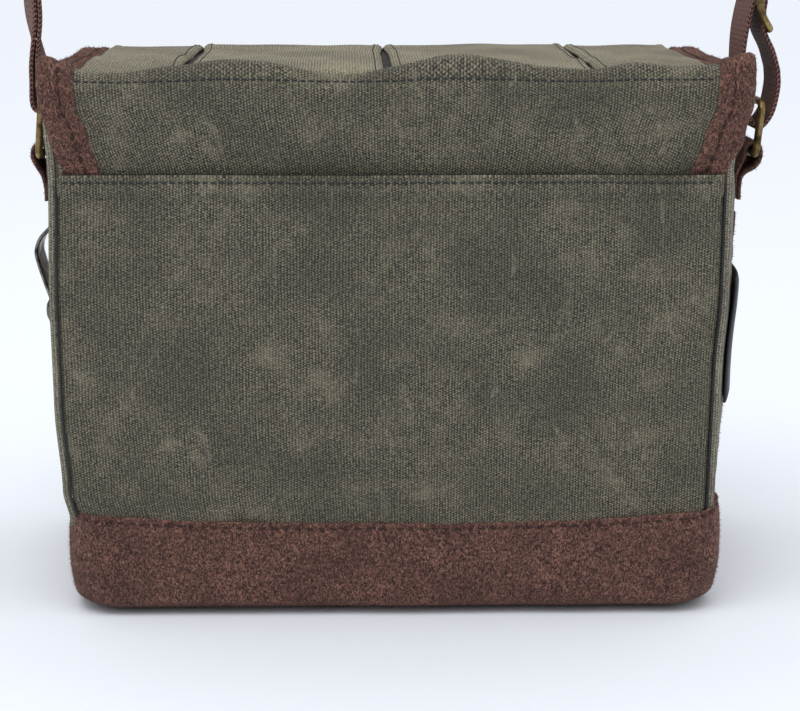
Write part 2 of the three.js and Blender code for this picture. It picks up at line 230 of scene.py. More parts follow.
@dataclass(frozen=True)
class WaxedCanvas(Finish):
    """Waxed cotton canvas, plain woven with heavy ribs: matt, with painted shade dark in the gaps over their wax and
    painted highlights pale on the thread tops.

    Wax that has cracked and moved leaves slow dark clouds, rubbed pale patches and thin pale creases.
    """

    name: str = "waxed_cotton_canvas"
    slot: str = "waxed_canvas"
    roughness: float = 0.72
    rib: float = 1.16 * MM
    pick: float = 1.0 * MM
    # gap paints the shade in the weave's hollows over their dark wax; top paints the highlight on the thread tops.
    gap: str = "17150f"
    thread: str = "4e4a3d"
    top: str = "918a71"
    rubbed: str = "a39c85"
    shade: str = "322e25"
    depth: float = 0.4 * MM

    def dress(self, tree: bpy.types.NodeTree, shader: bpy.types.Node) -> None:
        """Weaves the ribs, then lays the wax over them.

        Args:
            tree: The material's node tree.
            shader: Its Principled shader.
        """
        add = partial(add_node, tree)
        at = add("ShaderNodeTexCoord", out="UV")
        height = self.weave(tree, at)
        wax = add(NOISE, {"Vector": at, "Scale": 1 / (42 * MM), "Detail": 4, "Roughness": 0.55})
        patch = add(NOISE, {"Vector": at, "Scale": 1 / (11 * MM), "Detail": 4, "Roughness": 0.6})
        # Painted light: the gap colour darkens the hollows as their shade, over the wax there, and the top colour
        # lightens the ribs as their highlight.
        low = add(RANGE, {0: height, 1: 0.26, 2: 0.52})
        high = add(RANGE, {0: height, 1: 0.52, 2: 0.80})
        base = add(MIX, {0: low, 6: self.gap, 7: self.thread}, 2, data_type="RGBA")
        lit = add(MIX, {0: high, 6: base, 7: self.top}, 2, data_type="RGBA")
        patchy = add(RANGE, {0: patch, 1: 0.46, 2: 0.74})
        waxy = add(RANGE, {0: wax, 1: 0.42, 2: 0.66})
        pale = add(MATH, {0: patchy, 1: waxy}, operation="MULTIPLY")
        worn_share = add(MATH, {0: pale, 1: 0.46}, operation="MULTIPLY")
        worn = add(MIX, {0: worn_share, 6: lit, 7: self.rubbed}, 2, data_type="RGBA")
        dark = add(RANGE, {0: wax, 1: 0.55, 2: 0.38, 4: 0.34})
        waxed = add(MIX, {0: dark, 6: worn, 7: self.shade}, 2, data_type="RGBA")
        colour = add(MIX, {0: self.creases(tree, at), 6: waxed, 7: self.rubbed}, 2, data_type="RGBA")
        tree.links.new(colour, shader.inputs["Base Color"])
        tree.links.new(add(RANGE, {0: pale, 3: self.roughness, 4: 0.86}), shader.inputs["Roughness"])
        tree.links.new(add("ShaderNodeBump", {"Height": height, "Distance": self.depth}), shader.inputs["Normal"])

    def weave(self, tree: bpy.types.NodeTree, at: bpy.types.NodeSocket) -> bpy.types.NodeSocket:
        """The height of the threads.

        Args:
            tree: The material's node tree.
            at: Cloth coordinates in metres.

        Returns:
            The height, about 0 to 1.
        """
        add = partial(add_node, tree)
        sway = add(NOISE, {"Vector": at, "Scale": 1 / (9 * MM), "Detail": 2}, "Color")
        centred = add(VECTOR, {0: sway, 1: (0.5, 0.5, 0.5)}, operation="SUBTRACT")
        swing = add(VECTOR, {0: centred, "Scale": 0.9 * MM}, operation="SCALE")
        moved = add(VECTOR, {0: at, 1: swing}, operation="ADD")
        across = add(MATH, {0: add(SPLIT, {0: moved}, "X"), 1: self.rib}, operation="DIVIDE")
        along = add(MATH, {0: add(SPLIT, {0: moved}, "Y"), 1: self.pick}, operation="DIVIDE")
        ribs = add(MATH, {0: add(MATH, {0: across, 1: TURN}, operation="MULTIPLY")}, operation="SINE")
        column = add(MATH, {0: add(MATH, {0: across}, operation="FLOOR"), 1: math.pi}, operation="MULTIPLY")
        phase = add(MATH, {0: along, 1: TURN, 2: column}, operation="MULTIPLY_ADD")
        beads = add(MATH, {0: phase}, operation="SINE")
        long = add("ShaderNodeMapping", {"Vector": at, "Scale": (1, 0.3, 1)})
        slubs = add(NOISE, {"Vector": long, "Scale": 1 / (1.3 * MM), "Detail": 2})
        grains = add(NOISE, {"Vector": at, "Scale": 1 / (0.95 * MM), "Detail": 3, "Roughness": 0.7})
        height = add(MATH, {0: ribs, 1: 0.13, 2: -0.4}, operation="MULTIPLY_ADD")
        height = add(MATH, {0: beads, 1: 0.15, 2: height}, operation="MULTIPLY_ADD")
        height = add(MATH, {0: slubs, 1: 0.35, 2: height}, operation="MULTIPLY_ADD")
        return add(MATH, {0: grains, 1: 1.45, 2: height}, operation="MULTIPLY_ADD")

    def creases(self, tree: bpy.types.NodeTree, at: bpy.types.NodeSocket) -> bpy.types.NodeSocket:
        """Where the wax has cracked into thin pale lines.

        Args:
            tree: The material's node tree.
            at: Cloth coordinates in metres.

        Returns:
            How much of the pale colour shows, 0 to 1.
        """
        add = partial(add_node, tree)
        tall = add("ShaderNodeMapping", {"Vector": at, "Scale": (1, 0.4, 1)})
        field_ = add(NOISE, {"Vector": tall, "Scale": 1 / (30 * MM), "Detail": 3, "Distortion": 0.6})
        middle = add(MATH, {0: field_, 1: 0.5}, operation="SUBTRACT")
        line = add(RANGE, {0: add(MATH, {0: middle}, operation="ABSOLUTE"), 1: 0.018, 2: 0.0})
        area = add(RANGE, {0: add(NOISE, {"Vector": at, "Scale": 1 / (24 * MM), "Detail": 1}), 1: 0.5, 2: 0.64})
        broken = add(RANGE, {0: add(NOISE, {"Vector": at, "Scale": 1 / (2.4 * MM)}), 1: 0.4, 2: 0.66, 4: 0.42})
        seen = add(MATH, {0: line, 1: area}, operation="MULTIPLY")
        return add(MATH, {0: seen, 1: broken}, operation="MULTIPLY")


@dataclass(frozen=True)
class Suede(Finish):
    """Brown split suede, buffed to a nap: no gloss, with soft fibres that lie in light and dark swirls."""

    name: str = "buffed_suede"
    slot: str = "suede"
    roughness: float = 0.94
    pile: str = "63433a"
    dark: str = "2a130f"
    light: str = "ab7c6b"
    sheen: str = "b08a78"

    def dress(self, tree: bpy.types.NodeTree, shader: bpy.types.Node) -> None:
        """Lays the nap in three sizes: fibres, tufts and brushed swirls.

        Args:
            tree: The material's node tree.
            shader: Its Principled shader.
        """
        add = partial(add_node, tree)
        at = add("ShaderNodeTexCoord", out="UV")
        combed = add("ShaderNodeMapping", {"Vector": at, "Scale": (1, 0.55, 1)})
        fibres = add(NOISE, {"Vector": combed, "Scale": 1 / (0.62 * MM), "Detail": 4, "Roughness": 0.65,
                             "Distortion": 1.2})
        tufts = add(NOISE, {"Vector": at, "Scale": 1 / (1.7 * MM), "Detail": 3, "Distortion": 2.0})
        swirls = add(NOISE, {"Vector": at, "Scale": 1 / (26 * MM), "Detail": 3, "Distortion": 0.5})
        part = add(MATH, {0: fibres, 1: 0.6}, operation="MULTIPLY")
        nap = add(MATH, {0: tufts, 1: 0.4, 2: part}, operation="MULTIPLY_ADD")
        low = add(MIX, {0: add(RANGE, {0: nap, 1: 0.42, 2: 0.5}), 6: self.dark, 7: self.pile}, 2, data_type="RGBA")
        high = add(MIX, {0: add(RANGE, {0: nap, 1: 0.5, 2: 0.6}), 6: low, 7: self.light}, 2, data_type="RGBA")
        brushed = add(RANGE, {0: swirls, 1: 0.6, 2: 0.36, 4: 0.35})
        tree.links.new(add(MIX, {0: brushed, 6: high, 7: self.dark}, 2, data_type="RGBA"),
                       shader.inputs["Base Color"])
        shader.inputs["Sheen Weight"].default_value = 0.25
        shader.inputs["Sheen Roughness"].default_value = 0.5
        shader.inputs["Sheen Tint"].default_value = srgb(self.sheen)
        tree.links.new(add("ShaderNodeBump", {"Height": nap, "Distance": 1.6 * MM}), shader.inputs["Normal"])


@dataclass(frozen=True)
class Webbing(Finish):
    """Brown cotton-look webbing woven in a herringbone: fine slanting ribs, their thread tops painted bright as
    highlights and their hollows painted near black as shade.
    """

    name: str = "woven_webbing"
    slot: str = "webbing"
    roughness: float = 0.7
    low: str = "1d0d0b"
    high: str = "96675a"
    rib: float = 1.9 * MM
    cord: float = 1.25 * MM
    chevron: float = 3.1 * MM

    def dress(self, tree: bpy.types.NodeTree, shader: bpy.types.Node) -> None:
        """Weaves slanting ribs that turn at each quarter of the width.

        Args:
            tree: The material's node tree.
            shader: Its Principled shader.
        """
        add = partial(add_node, tree)
        at = add("ShaderNodeTexCoord", out="UV")
        x = add(SPLIT, {0: at}, "X")
        fold = add(MATH, {0: x, 1: self.chevron}, operation="PINGPONG")
        slant = add(MATH, {0: fold, 1: 0.9, 2: add(SPLIT, {0: at}, "Y")}, operation="MULTIPLY_ADD")
        ribs = add(MATH, {0: add(MATH, {0: slant, 1: TURN / self.rib}, operation="MULTIPLY")}, operation="SINE")
        cords = add(MATH, {0: add(MATH, {0: x, 1: TURN / self.cord}, operation="MULTIPLY")}, operation="SINE")
        hairs = add(NOISE, {"Vector": at, "Scale": 1 / (0.5 * MM)})
        woven = add(MATH, {0: ribs, 1: 0.34, 2: hairs}, operation="MULTIPLY_ADD")
        height = add(MATH, {0: cords, 1: 0.22, 2: woven}, operation="MULTIPLY_ADD")
        # The high colour paints highlights on the thread tops and the low colour paints the shade between them.
        share = add(RANGE, {0: height, 1: 0.25, 2: 0.8})
        tree.links.new(add(MIX, {0: share, 6: self.low, 7: self.high}, 2, data_type="RGBA"),
                       shader.inputs["Base Color"])
        tree.links.new(add("ShaderNodeBump", {"Height": height, "Distance": 0.5 * MM}), shader.inputs["Normal"])


@dataclass(frozen=True)
class CastMetal(Finish):
    """Plated die-cast metal, tumbled and darkened: warm bright edges over a brown film in the hollows.

    A metal keeps the default IOR; its colour comes from the plating.
    """

    name: str = "antiqued_brass_plate"
    slot: str = "antique_brass"
    roughness: float = 0.38
    bright: str = "a08a5c"
    film: str = "4b3d26"

    def dress(self, tree: bpy.types.NodeTree, shader: bpy.types.Node) -> None:
        """Spreads the dark film in clouds and adds fine scratches.

        Args:
            tree: The material's node tree.
            shader: Its Principled shader.
        """
        add = partial(add_node, tree)
        at = add("ShaderNodeTexCoord", out="Object")
        cloud = add(NOISE, {"Vector": at, "Scale": 1 / (4 * MM), "Detail": 4, "Roughness": 0.6})
        drawn = add("ShaderNodeMapping", {"Vector": at, "Scale": (1, 1, 0.15)})
        scratch = add(NOISE, {"Vector": drawn, "Scale": 1 / (0.4 * MM)})
        share = add(RANGE, {0: cloud, 1: 0.35, 2: 0.65})
        tree.links.new(add(MIX, {0: share, 6: self.bright, 7: self.film}, 2, data_type="RGBA"),
                       shader.inputs["Base Color"])
        shader.inputs["Metallic"].default_value = 1.0
        tree.links.new(add(RANGE, {0: cloud, 1: 0.35, 2: 0.7, 3: self.roughness - 0.08, 4: self.roughness + 0.16}),
                       shader.inputs["Roughness"])
        tree.links.new(add("ShaderNodeBump", {"Height": scratch, "Distance": 0.04 * MM}), shader.inputs["Normal"])


@dataclass(frozen=True)
class FineCloth(Finish):
    """A fine woven or brushed cloth, such as nylon lining or loop fabric over foam, with its own thread size."""

    name: str = "nylon_lining"
    slot: str = "lining"
    roughness: float = 0.75
    low: str = "2f3130"
    high: str = "5a5d5a"
    thread: float = 0.9 * MM
    fuzz: float = 0.3

    def dress(self, tree: bpy.types.NodeTree, shader: bpy.types.Node) -> None:
        """Weaves a square cloth, drawn a little coarser than life so that it shows, under a soft fuzz.

        Args:
            tree: The material's node tree.
            shader: Its Principled shader.
        """
        add = partial(add_node, tree)
        at = add("ShaderNodeTexCoord", out="UV")
        waves = []
        for axis in "XY":
            angle = add(MATH, {0: add(SPLIT, {0: at}, axis), 1: TURN / self.thread}, operation="MULTIPLY")
            waves.append(add(MATH, {0: angle}, operation="SINE"))
        weave = add(MATH, {0: waves[0], 1: waves[1]}, operation="MULTIPLY")
        hairs = add(NOISE, {"Vector": at, "Scale": 1 / (1.1 * MM), "Detail": 3})
        height = add(MATH, {0: weave, 1: 0.5 * (1 - self.fuzz), 2: hairs}, operation="MULTIPLY_ADD")
        shade = add(RANGE, {0: add(NOISE, {"Vector": at, "Scale": 1 / (30 * MM)}), 4: 0.25})
        share = add(RANGE, {0: height, 1: 0.1, 2: 0.9})
        cloth = add(MIX, {0: share, 6: self.low, 7: self.high}, 2, data_type="RGBA")
        tree.links.new(add(MIX, {0: shade, 6: cloth, 7: self.low}, 2, data_type="RGBA"), shader.inputs["Base Color"])
        shader.inputs["Sheen Weight"].default_value = self.fuzz
        tree.links.new(add("ShaderNodeBump", {"Height": height, "Distance": 0.2 * MM}), shader.inputs["Normal"])


@dataclass(frozen=True)
class Moulded(Finish):
    """A moulded or pressed sheet, such as rubber or fibreboard: even, with a fine matt grain."""

    name: str = "moulded_rubber"
    slot: str = "black_rubber"
    roughness: float = 0.5
    tone: str = "0d0e11"
    light: str = "24262b"

    def dress(self, tree: bpy.types.NodeTree, shader: bpy.types.Node) -> None:
        """Grains the surface and lets rubbed places show a little paler.

        Args:
            tree: The material's node tree.
            shader: Its Principled shader.
        """
        add = partial(add_node, tree)
        at = add("ShaderNodeTexCoord", out="Object")
        grain = add(NOISE, {"Vector": at, "Scale": 1 / (0.6 * MM)})
        rub = add(NOISE, {"Vector": at, "Scale": 1 / (9 * MM), "Detail": 3})
        share = add(RANGE, {0: rub, 1: 0.4, 2: 0.75})
        tree.links.new(add(MIX, {0: share, 6: self.tone, 7: self.light}, 2, data_type="RGBA"),
                       shader.inputs["Base Color"])
        tree.links.new(add(RANGE, {0: rub, 1: 0.3, 2: 0.7, 3: self.roughness, 4: self.roughness + 0.2}),
                       shader.inputs["Roughness"])
        tree.links.new(add("ShaderNodeBump", {"Height": grain, "Distance": 0.06 * MM}), shader.inputs["Normal"])


@dataclass(frozen=True)
class Thread(Finish):
    """Twisted sewing thread: a dull sheen, darker where the plies meet."""

    name: str = "sewing_thread"
    slot: str = "waxed_canvas"
    roughness: float = 0.6
    low: str = "0b0e11"
    high: str = "232a30"

    def dress(self, tree: bpy.types.NodeTree, shader: bpy.types.Node) -> None:
        """Twists fine plies, drawn coarse enough to show.

        Args:
            tree: The material's node tree.
            shader: Its Principled shader.
        """
        add = partial(add_node, tree)
        at = add("ShaderNodeTexCoord", out="Object")
        twist = add(NOISE, {"Vector": at, "Scale": 1 / (0.5 * MM), "Detail": 1})
        share = add(RANGE, {0: twist, 1: 0.35, 2: 0.65})
        tree.links.new(add(MIX, {0: share, 6: self.low, 7: self.high}, 2, data_type="RGBA"),
                       shader.inputs["Base Color"])
        tree.links.new(add("ShaderNodeBump", {"Height": twist, "Distance": 0.1 * MM}), shader.inputs["Normal"])


@dataclass(frozen=True)
class Paper(Finish):
    """Matt seamless paper for the studio floor: even and pale, with no gloss to draw the eye."""

    name: str = "matt_white_paper"
    roughness: float = 0.9
    tone: str = "ecf1f8"

    def dress(self, tree: bpy.types.NodeTree, shader: bpy.types.Node) -> None:
        """Gives it one even tone."""
        shader.inputs["Base Color"].default_value = srgb(self.tone)


# Dark wax sits between the ribs, and the gaps are painted darker still as their shade while the thread tops are
# painted pale as their highlight, so the cloth looks olive grey with a dry matt tooth.
CANVAS = WaxedCanvas()
# The same cloth with the light from above painted in: paler, flatter ribs for the flap's top.
LIT_TOP_CANVAS = WaxedCanvas(name="waxed_canvas_flap_top_painted_light", gap="45402f", thread="7a745f", top="a8a188", depth=0.2 * MM)
# A paler copy for the gussets and the seam piping, with less dark between the ribs: painted light from the sides.
SIDE_LIT_CANVAS = WaxedCanvas(name="waxed_canvas_gusset_painted_side_light", gap="3a362b", thread="7c7767", top="a8a38f")
# The raised nap scatters light, so the suede looks soft, warm and mottled with no highlight.
SUEDE = Suede()
# The ribs are painted bright on their tops and near black between them, which paints their highlights and shade and
# reads as a herringbone.
WEBBING = Webbing()
# The brown film dulls the brass except on worn edges, which look warm and bright.
BRASS = CastMetal()
# A smoother, colder plate with sharper highlights.
NICKEL = CastMetal(name="dark_nickel_plate", slot="dark_nickel", roughness=0.3, bright="8e8a86", film="3a3532")
# Grey nylon, smooth enough for a faint sheen.
LINING = FineCloth()
# Painted shade: near-black cloth laid under the slits and behind the back pocket's mouth, where only shade falls.
PAINTED_SHADE_CLOTH = FineCloth(name="painted_shade_cloth", low="0a0706", high="17110e", fuzz=0.0)
# Brushed loops over foam: a pale bloom over grey, with no clear weave.
FELT = FineCloth(name="brushed_loop_fabric", slot="insert_felt", roughness=0.9, low="4a4a47", high="7e7e79",
                 thread=1.3 * MM, fuzz=0.7)
# Black rubber with a broad soft highlight.
RUBBER = Moulded()
# Pressed fibreboard: brown black and dry.
BOARD = Moulded(name="pressed_fibreboard", slot="", roughness=0.7, tone="2a2724", light="443f39")
# Waxed thread nearly as dark as the gaps in the canvas: a row of small dark dashes.
DARK_THREAD = Thread()
# Brown thread sunk in the suede: dark warm dashes.
BROWN_THREAD = Thread(name="brown_sewing_thread", slot="suede", low="0e0504", high="34150f")


# ---------------------------------------------------------------- mesh building


@dataclass(frozen=True)
class Stitch:
    """How a row is sewn: from one stitch to the next, the share the thread covers, its radius and its finish."""

    pitch: float
    share: float
    radius: float
    finish: Finish


CANVAS_ROW = Stitch(3.1 * MM, 0.72, 0.42 * MM, DARK_THREAD)
PANEL_ROW = Stitch(3.1 * MM, 0.62, 0.28 * MM, DARK_THREAD)
SUEDE_ROW = Stitch(4.4 * MM, 0.66, 0.45 * MM, BROWN_THREAD)
BOOT_ROW = Stitch(4.6 * MM, 0.5, 0.45 * MM, BROWN_THREAD)


@dataclass(frozen=True)
class Maker:
    """Turns points into finished, riding pieces, and raises the nap of suede."""

    fibres_per_area: float = 1.1e6
    fibre_length: float = 1.5 * MM
    fibre_half: float = 0.07 * MM
    fibre_seed: int = 11
    floor_gap: float = 0.2 * MM
    edge_pinch: float = 0.22
    edge_roll: float = 0.3

    def finish_piece(self, name: str, mesh: bpy.types.Mesh, finish: Finish, body: str | None = None,
                     nodes: Sequence[str] = ()) -> bpy.types.Object:
        """Puts a mesh in the scene, dressed and riding on its body.

        Args:
            name: The piece's name.
            mesh: Its mesh, in metres in the bag's frame.
            finish: Its finish.
            body: The CAD body it moves with; None leaves it on no body.
            nodes: The CAD nodes it stands for.

        Returns:
            The new object.
        """
        if finish is SUEDE:
            self.raise_nap(mesh)
        mesh.materials.append(finish.material())
        for polygon in mesh.polygons:
            polygon.use_smooth = True
        piece = bpy.data.objects.new(name, mesh)
        bpy.context.scene.collection.objects.link(piece)
        if body:
            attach(piece, body)
        if nodes:
            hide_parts(*nodes)
        LOG.info("made %s", name)
        return piece

    def mesh_from(self, name: str, points: list[Vector], faces: list[tuple[int, ...]],
                  uvs: list[tuple[float, float]]) -> bpy.types.Mesh:
        """A mesh with a UV in metres at each point.

        Args:
            name: The mesh's name.
            points: Its points.
            faces: Its faces, facing out.
            uvs: One pair a point.

        Returns:
            The mesh.
        """
        mesh = bpy.data.meshes.new(name)
        mesh.from_pydata(points, [], faces)
        shape = bmesh.new()
        shape.from_mesh(mesh)
        bmesh.ops.recalc_face_normals(shape, faces=shape.faces[:])
        shape.to_mesh(mesh)
        shape.free()
        layer = mesh.uv_layers.new(name="cloth")
        for loop in mesh.loops:
            layer.data[loop.index].uv = uvs[loop.vertex_index]
        mesh.validate()
        mesh.update()
        return mesh

    def raise_nap(self, mesh: bpy.types.Mesh) -> None:
        """Raises short loose fibres on a suede mesh, which soften its edges.

        Args:
            mesh: The suede's mesh.
        """
        chance = random.Random(self.fibre_seed)
        shape = bmesh.new()
        shape.from_mesh(mesh)
        layer = shape.loops.layers.uv[0]
        for face in list(shape.faces):
            wanted = face.calc_area() * self.fibres_per_area
            loops = face.loops
            if len(loops) != 4:
                continue
            for _ in range(int(wanted) + (chance.random() < wanted % 1)):
                a, b = chance.random(), chance.random()
                low = loops[0].vert.co.lerp(loops[1].vert.co, a)
                root = low.lerp(loops[3].vert.co.lerp(loops[2].vert.co, a), b)
                uv = loops[0][layer].uv.lerp(loops[2][layer].uv, (a + b) / 2)
                lean = Vector([chance.uniform(-1, 1) for _ in range(3)])
                along = (face.normal * 0.55 + lean).normalized()
                if along.dot(face.normal) < 0.1:
                    continue
                side = along.orthogonal().normalized() * self.fibre_half
                tip = root + along * self.fibre_length * chance.uniform(0.35, 1)
                if tip.z < self.floor_gap:
                    continue
                fibre = shape.faces.new([shape.verts.new(point) for point in (root - side, root + side, tip)])
                for loop in fibre.loops:
                    loop[layer].uv = uv
        shape.to_mesh(mesh)
        shape.free()

    def sheet(self, name: str, surface: Surface, size: tuple[float, float], thick: float,
              step: float = 2.4 * MM) -> bpy.types.Mesh:
        """A closed sheet of cloth with rolled edges.

        Args:
            name: The mesh's name.
            surface: The outer face, from (u, v) in 0 to 1; u cross v points out of it.
            size: How long the sheet is along u and v.
            thick: Its thickness.
            step: The grid's step.

        Returns:
            The mesh.
        """
        nu, nv = (max(2, round(length / step)) for length in size)
        grid = [[surface(i / nu, j / nv) for j in range(nv + 1)] for i in range(nu + 1)]
        points, uvs, faces = [], [], []
        wide = nv + 1

        def normal(i: int, j: int) -> Vector:
            """The surface's direction at a grid point."""
            du = grid[min(i + 1, nu)][j] - grid[max(i - 1, 0)][j]
            dv = grid[i][min(j + 1, nv)] - grid[i][max(j - 1, 0)]
            return du.cross(dv).normalized()

        normals = [[normal(i, j) for j in range(wide)] for i in range(nu + 1)]
        for layer in (0, 1):
            for i in range(nu + 1):
                for j in range(wide):
                    edge = min(i, nu - i, j, nv - j) == 0
                    pinch = self.edge_pinch * thick if edge else 0.0
                    depth = pinch if layer == 0 else thick - pinch
                    points.append(grid[i][j] - normals[i][j] * depth)
                    uvs.append((i / nu * size[0], j / nv * size[1]))
        count = (nu + 1) * wide
        for i in range(nu):
            for j in range(nv):
                a, b, c, d = i * wide + j, (i + 1) * wide + j, (i + 1) * wide + j + 1, i * wide + j + 1
                faces.append((a, b, c, d))
                faces.append((d + count, c + count, b + count, a + count))
        rim = [(i, 0) for i in range(nu)] + [(nu, j) for j in range(nv)]
        rim += [(i, nv) for i in range(nu, 0, -1)] + [(0, j) for j in range(nv, 0, -1)]
        ring = []
        for i, j in rim:
            outward = Vector()
            if i in (0, nu):
                outward += (grid[i][j] - grid[1 if i == 0 else nu - 1][j]).normalized()
            if j in (0, nv):
                outward += (grid[i][j] - grid[i][1 if j == 0 else nv - 1]).normalized()
            middle = grid[i][j] - normals[i][j] * thick / 2
            ring.append(len(points))
            points.append(middle + outward.normalized() * thick * self.edge_roll)
            uvs.append((i / nu * size[0], j / nv * size[1]))
        for k, (i, j) in enumerate(rim):
            ni, nj = rim[(k + 1) % len(rim)]
            here, after = i * wide + j, ni * wide + nj
            m0, m1 = ring[k], ring[(k + 1) % len(rim)]
            faces.append((after, here, m0, m1))
            faces.append((here + count, after + count, m1, m0))
        return self.mesh_from(name, points, faces, uvs)

    def sweep(self, name: str, path: Sequence[Vector], section: Sequence[tuple[float, float]],
              across: Vector | None = None, closed: bool = False,
              widths: Callable[[float], float] | None = None,
              twist: Callable[[float], float] | None = None) -> bpy.types.Mesh:
        """A solid swept along a path.

        Args:
            name: The mesh's name.
            path: The points it follows.
            section: Its outline as (across, off the flat) pairs.
            across: A fixed direction for the section's first axis; None lets it turn with the path.
            closed: Whether the path joins itself.
            widths: Scales the section along the path, from a share of its length.
            twist: Turns the section about the path, in radians, from a share of its length.

        Returns:
            The mesh.
        """
        total = len(path)
        points, uvs = [], []
        run = 0.0
        last = None
        around = len(section)
        perimeter = [0.0]
        for (a, b), (c, d) in zip(section, section[1:]):
            perimeter.append(perimeter[-1] + math.hypot(c - a, d - b))
        for k, at in enumerate(path):
            before = path[k - 1] if closed or k else at
            after = path[(k + 1) % total] if closed or k + 1 < total else at
            along = (after - before).normalized()
            if across is not None:
                side = (across - along * across.dot(along)).normalized()
            else:
                guess = last if last is not None else along.orthogonal()
                side = (guess - along * guess.dot(along)).normalized()
            last = side
            share = k / max(1, total - 1)
            if twist:
                side = side.copy()
                side.rotate(Quaternion(along, twist(share)))
            up = along.cross(side)
            scale = widths(share) if widths else 1.0
            if k:
                run += (at - path[k - 1]).length
            for (a, b), u in zip(section, perimeter):
                points.append(at + side * a * scale + up * b * scale)
                uvs.append((u, run))
        return self.mesh_from(name, points, tube_faces(total, around, closed=closed), uvs)

    def stitches(self, name: str, path: Sequence[Vector], stitch: Stitch,
                 body: str | None = None) -> bpy.types.Object:
        """A row of stitches, each a small capsule of thread that dips at both ends.

        Args:
            name: The piece's name.
            path: The line that the row follows, on the cloth's face.
            stitch: How the row is sewn.
            body: The body it rides on; None leaves it on no body.

        Returns:
            The row as one object.
        """
        lengths = [0.0]
        for a, b in zip(path, path[1:]):
            lengths.append(lengths[-1] + (b - a).length)
        points, uvs, faces = [], [], []

        def at(distance: float) -> Vector:
            """The point that far along the path.

            Args:
                distance: From the path's start.

            Returns:
                The point.
            """
            for k in range(1, len(lengths)):
                if distance <= lengths[k] or k == len(lengths) - 1:
                    gap = lengths[k] - lengths[k - 1]
                    t = (distance - lengths[k - 1]) / gap if gap else 0
                    return path[k - 1].lerp(path[k], min(1.0, t))
            return path[-1]

        rounds, sides = 5, 6
        for n in range(int(lengths[-1] / stitch.pitch)):
            start, end = at(n * stitch.pitch), at((n + stitch.share) * stitch.pitch)
            along = (end - start).normalized()
            side = along.orthogonal().normalized()
            up = along.cross(side)
            faces += tube_faces(rounds, sides, first=len(points))
            for k in range(rounds):
                t = k / (rounds - 1)
                dip = math.sqrt(max(0.06, 1 - (2 * t - 1) ** 2)) if k in (0, rounds - 1) else 1.0
                for m in range(sides):
                    angle = TURN * m / sides
                    off = side * math.cos(angle) + up * math.sin(angle)
                    points.append(start.lerp(end, t) + off * stitch.radius * dip)
                    uvs.append((m / sides * stitch.radius, t * stitch.pitch))
        return self.finish_piece(name, self.mesh_from(name, points, faces, uvs), stitch.finish, body)

    def turned(self, name: str, base: Vector, axis: Vector, outline: Sequence[tuple[float, float]],
               sides: int = 32) -> bpy.types.Mesh:
        """A solid turned about an axis.

        Args:
            name: The mesh's name.
            base: Where the axis starts.
            axis: Its direction.
            outline: Pairs of radius and height.
            sides: How many sides it has.

        Returns:
            The mesh.
        """
        side = axis.orthogonal().normalized()
        up = axis.cross(side)
        points, uvs = [], []
        for radius, height in outline:
            for k in range(sides):
                angle = TURN * k / sides
                points.append(base + axis * height + (side * math.cos(angle) + up * math.sin(angle)) * radius)
                uvs.append((angle * radius, height))
        return self.mesh_from(name, points, tube_faces(len(outline), sides), uvs)


MAKE = Maker()


def tube_faces(rows: int, around: int, first: int = 0, closed: bool = False) -> list[tuple[int, ...]]:
    """The faces of a tube whose points are given ring by ring.

    Args:
        rows: How many rings it has.
        around: How many points a ring has.
        first: The number of its first point.
        closed: Whether the last ring joins the first; otherwise both ends are capped.

    Returns:
        The faces.
    """
    faces: list[tuple[int, ...]] = []
    for k in range(rows if closed else rows - 1):
        here, after = first + k * around, first + (k + 1) % rows * around
        for m in range(around):
            n = (m + 1) % around
            faces.append((here + m, here + n, after + n, after + m))
    if not closed:
        faces.append(tuple(first + m for m in reversed(range(around))))
        faces.append(tuple(first + (rows - 1) * around + m for m in range(around)))
    return faces


def rounded_loop(half: float, low: float, high: float, corner: float, parts: int,
                 step: float) -> list[tuple[float, float]]:
    """An even line round a rectangle with round corners.

    Args:
        half: Half its width.
        low: Its lower edge.
        high: Its upper edge.
        corner: The corners' radius.
        parts: How many parts each corner is cut in.
        step: About how far apart the points are.

    Returns:
        Pairs of across and up.
    """
    path = []
    centres = ((1, high - corner), (-1, high - corner), (-1, low + corner), (1, low + corner))
    for k, (side, centre) in enumerate(centres):
        for part in range(parts + 1):
            angle = math.pi / 2 * (k + part / parts)
            path.append((side * (half - corner) + corner * math.cos(angle), centre + corner * math.sin(angle)))
    dense = []
    for (a, b), (c, d) in zip(path, path[1:] + path[:1]):
        count = max(1, round(math.hypot(c - a, d - b) / step))
        dense += [(mix(a, c, k / count), mix(b, d, k / count)) for k in range(count)]
    return dense


def flat_section(width: float, thick: float) -> list[tuple[float, float]]:
    """The outline of a flat strap with round edges.

    Args:
        width: Its width.
        thick: Its thickness.

    Returns:
        Points round the outline.
    """
    half, r = width / 2, thick / 2
    steps = [half - r - (width - thick) * k / 10 for k in range(11)]
    top = [(x, r) for x in steps]
    left = [(-half + r - r * math.sin(math.pi * k / 6), r * math.cos(math.pi * k / 6)) for k in range(1, 6)]
    bottom = [(-x, -r) for x in steps]
    right = [(half - r + r * math.sin(math.pi * k / 6), -r * math.cos(math.pi * k / 6)) for k in range(1, 6)]
    return top + left + bottom + right


def round_section(radius: float, sides: int = 12) -> list[tuple[float, float]]:
    """The outline of a wire."""
    return [(radius * math.cos(TURN * k / sides), radius * math.sin(TURN * k / sides)) for k in range(sides)]


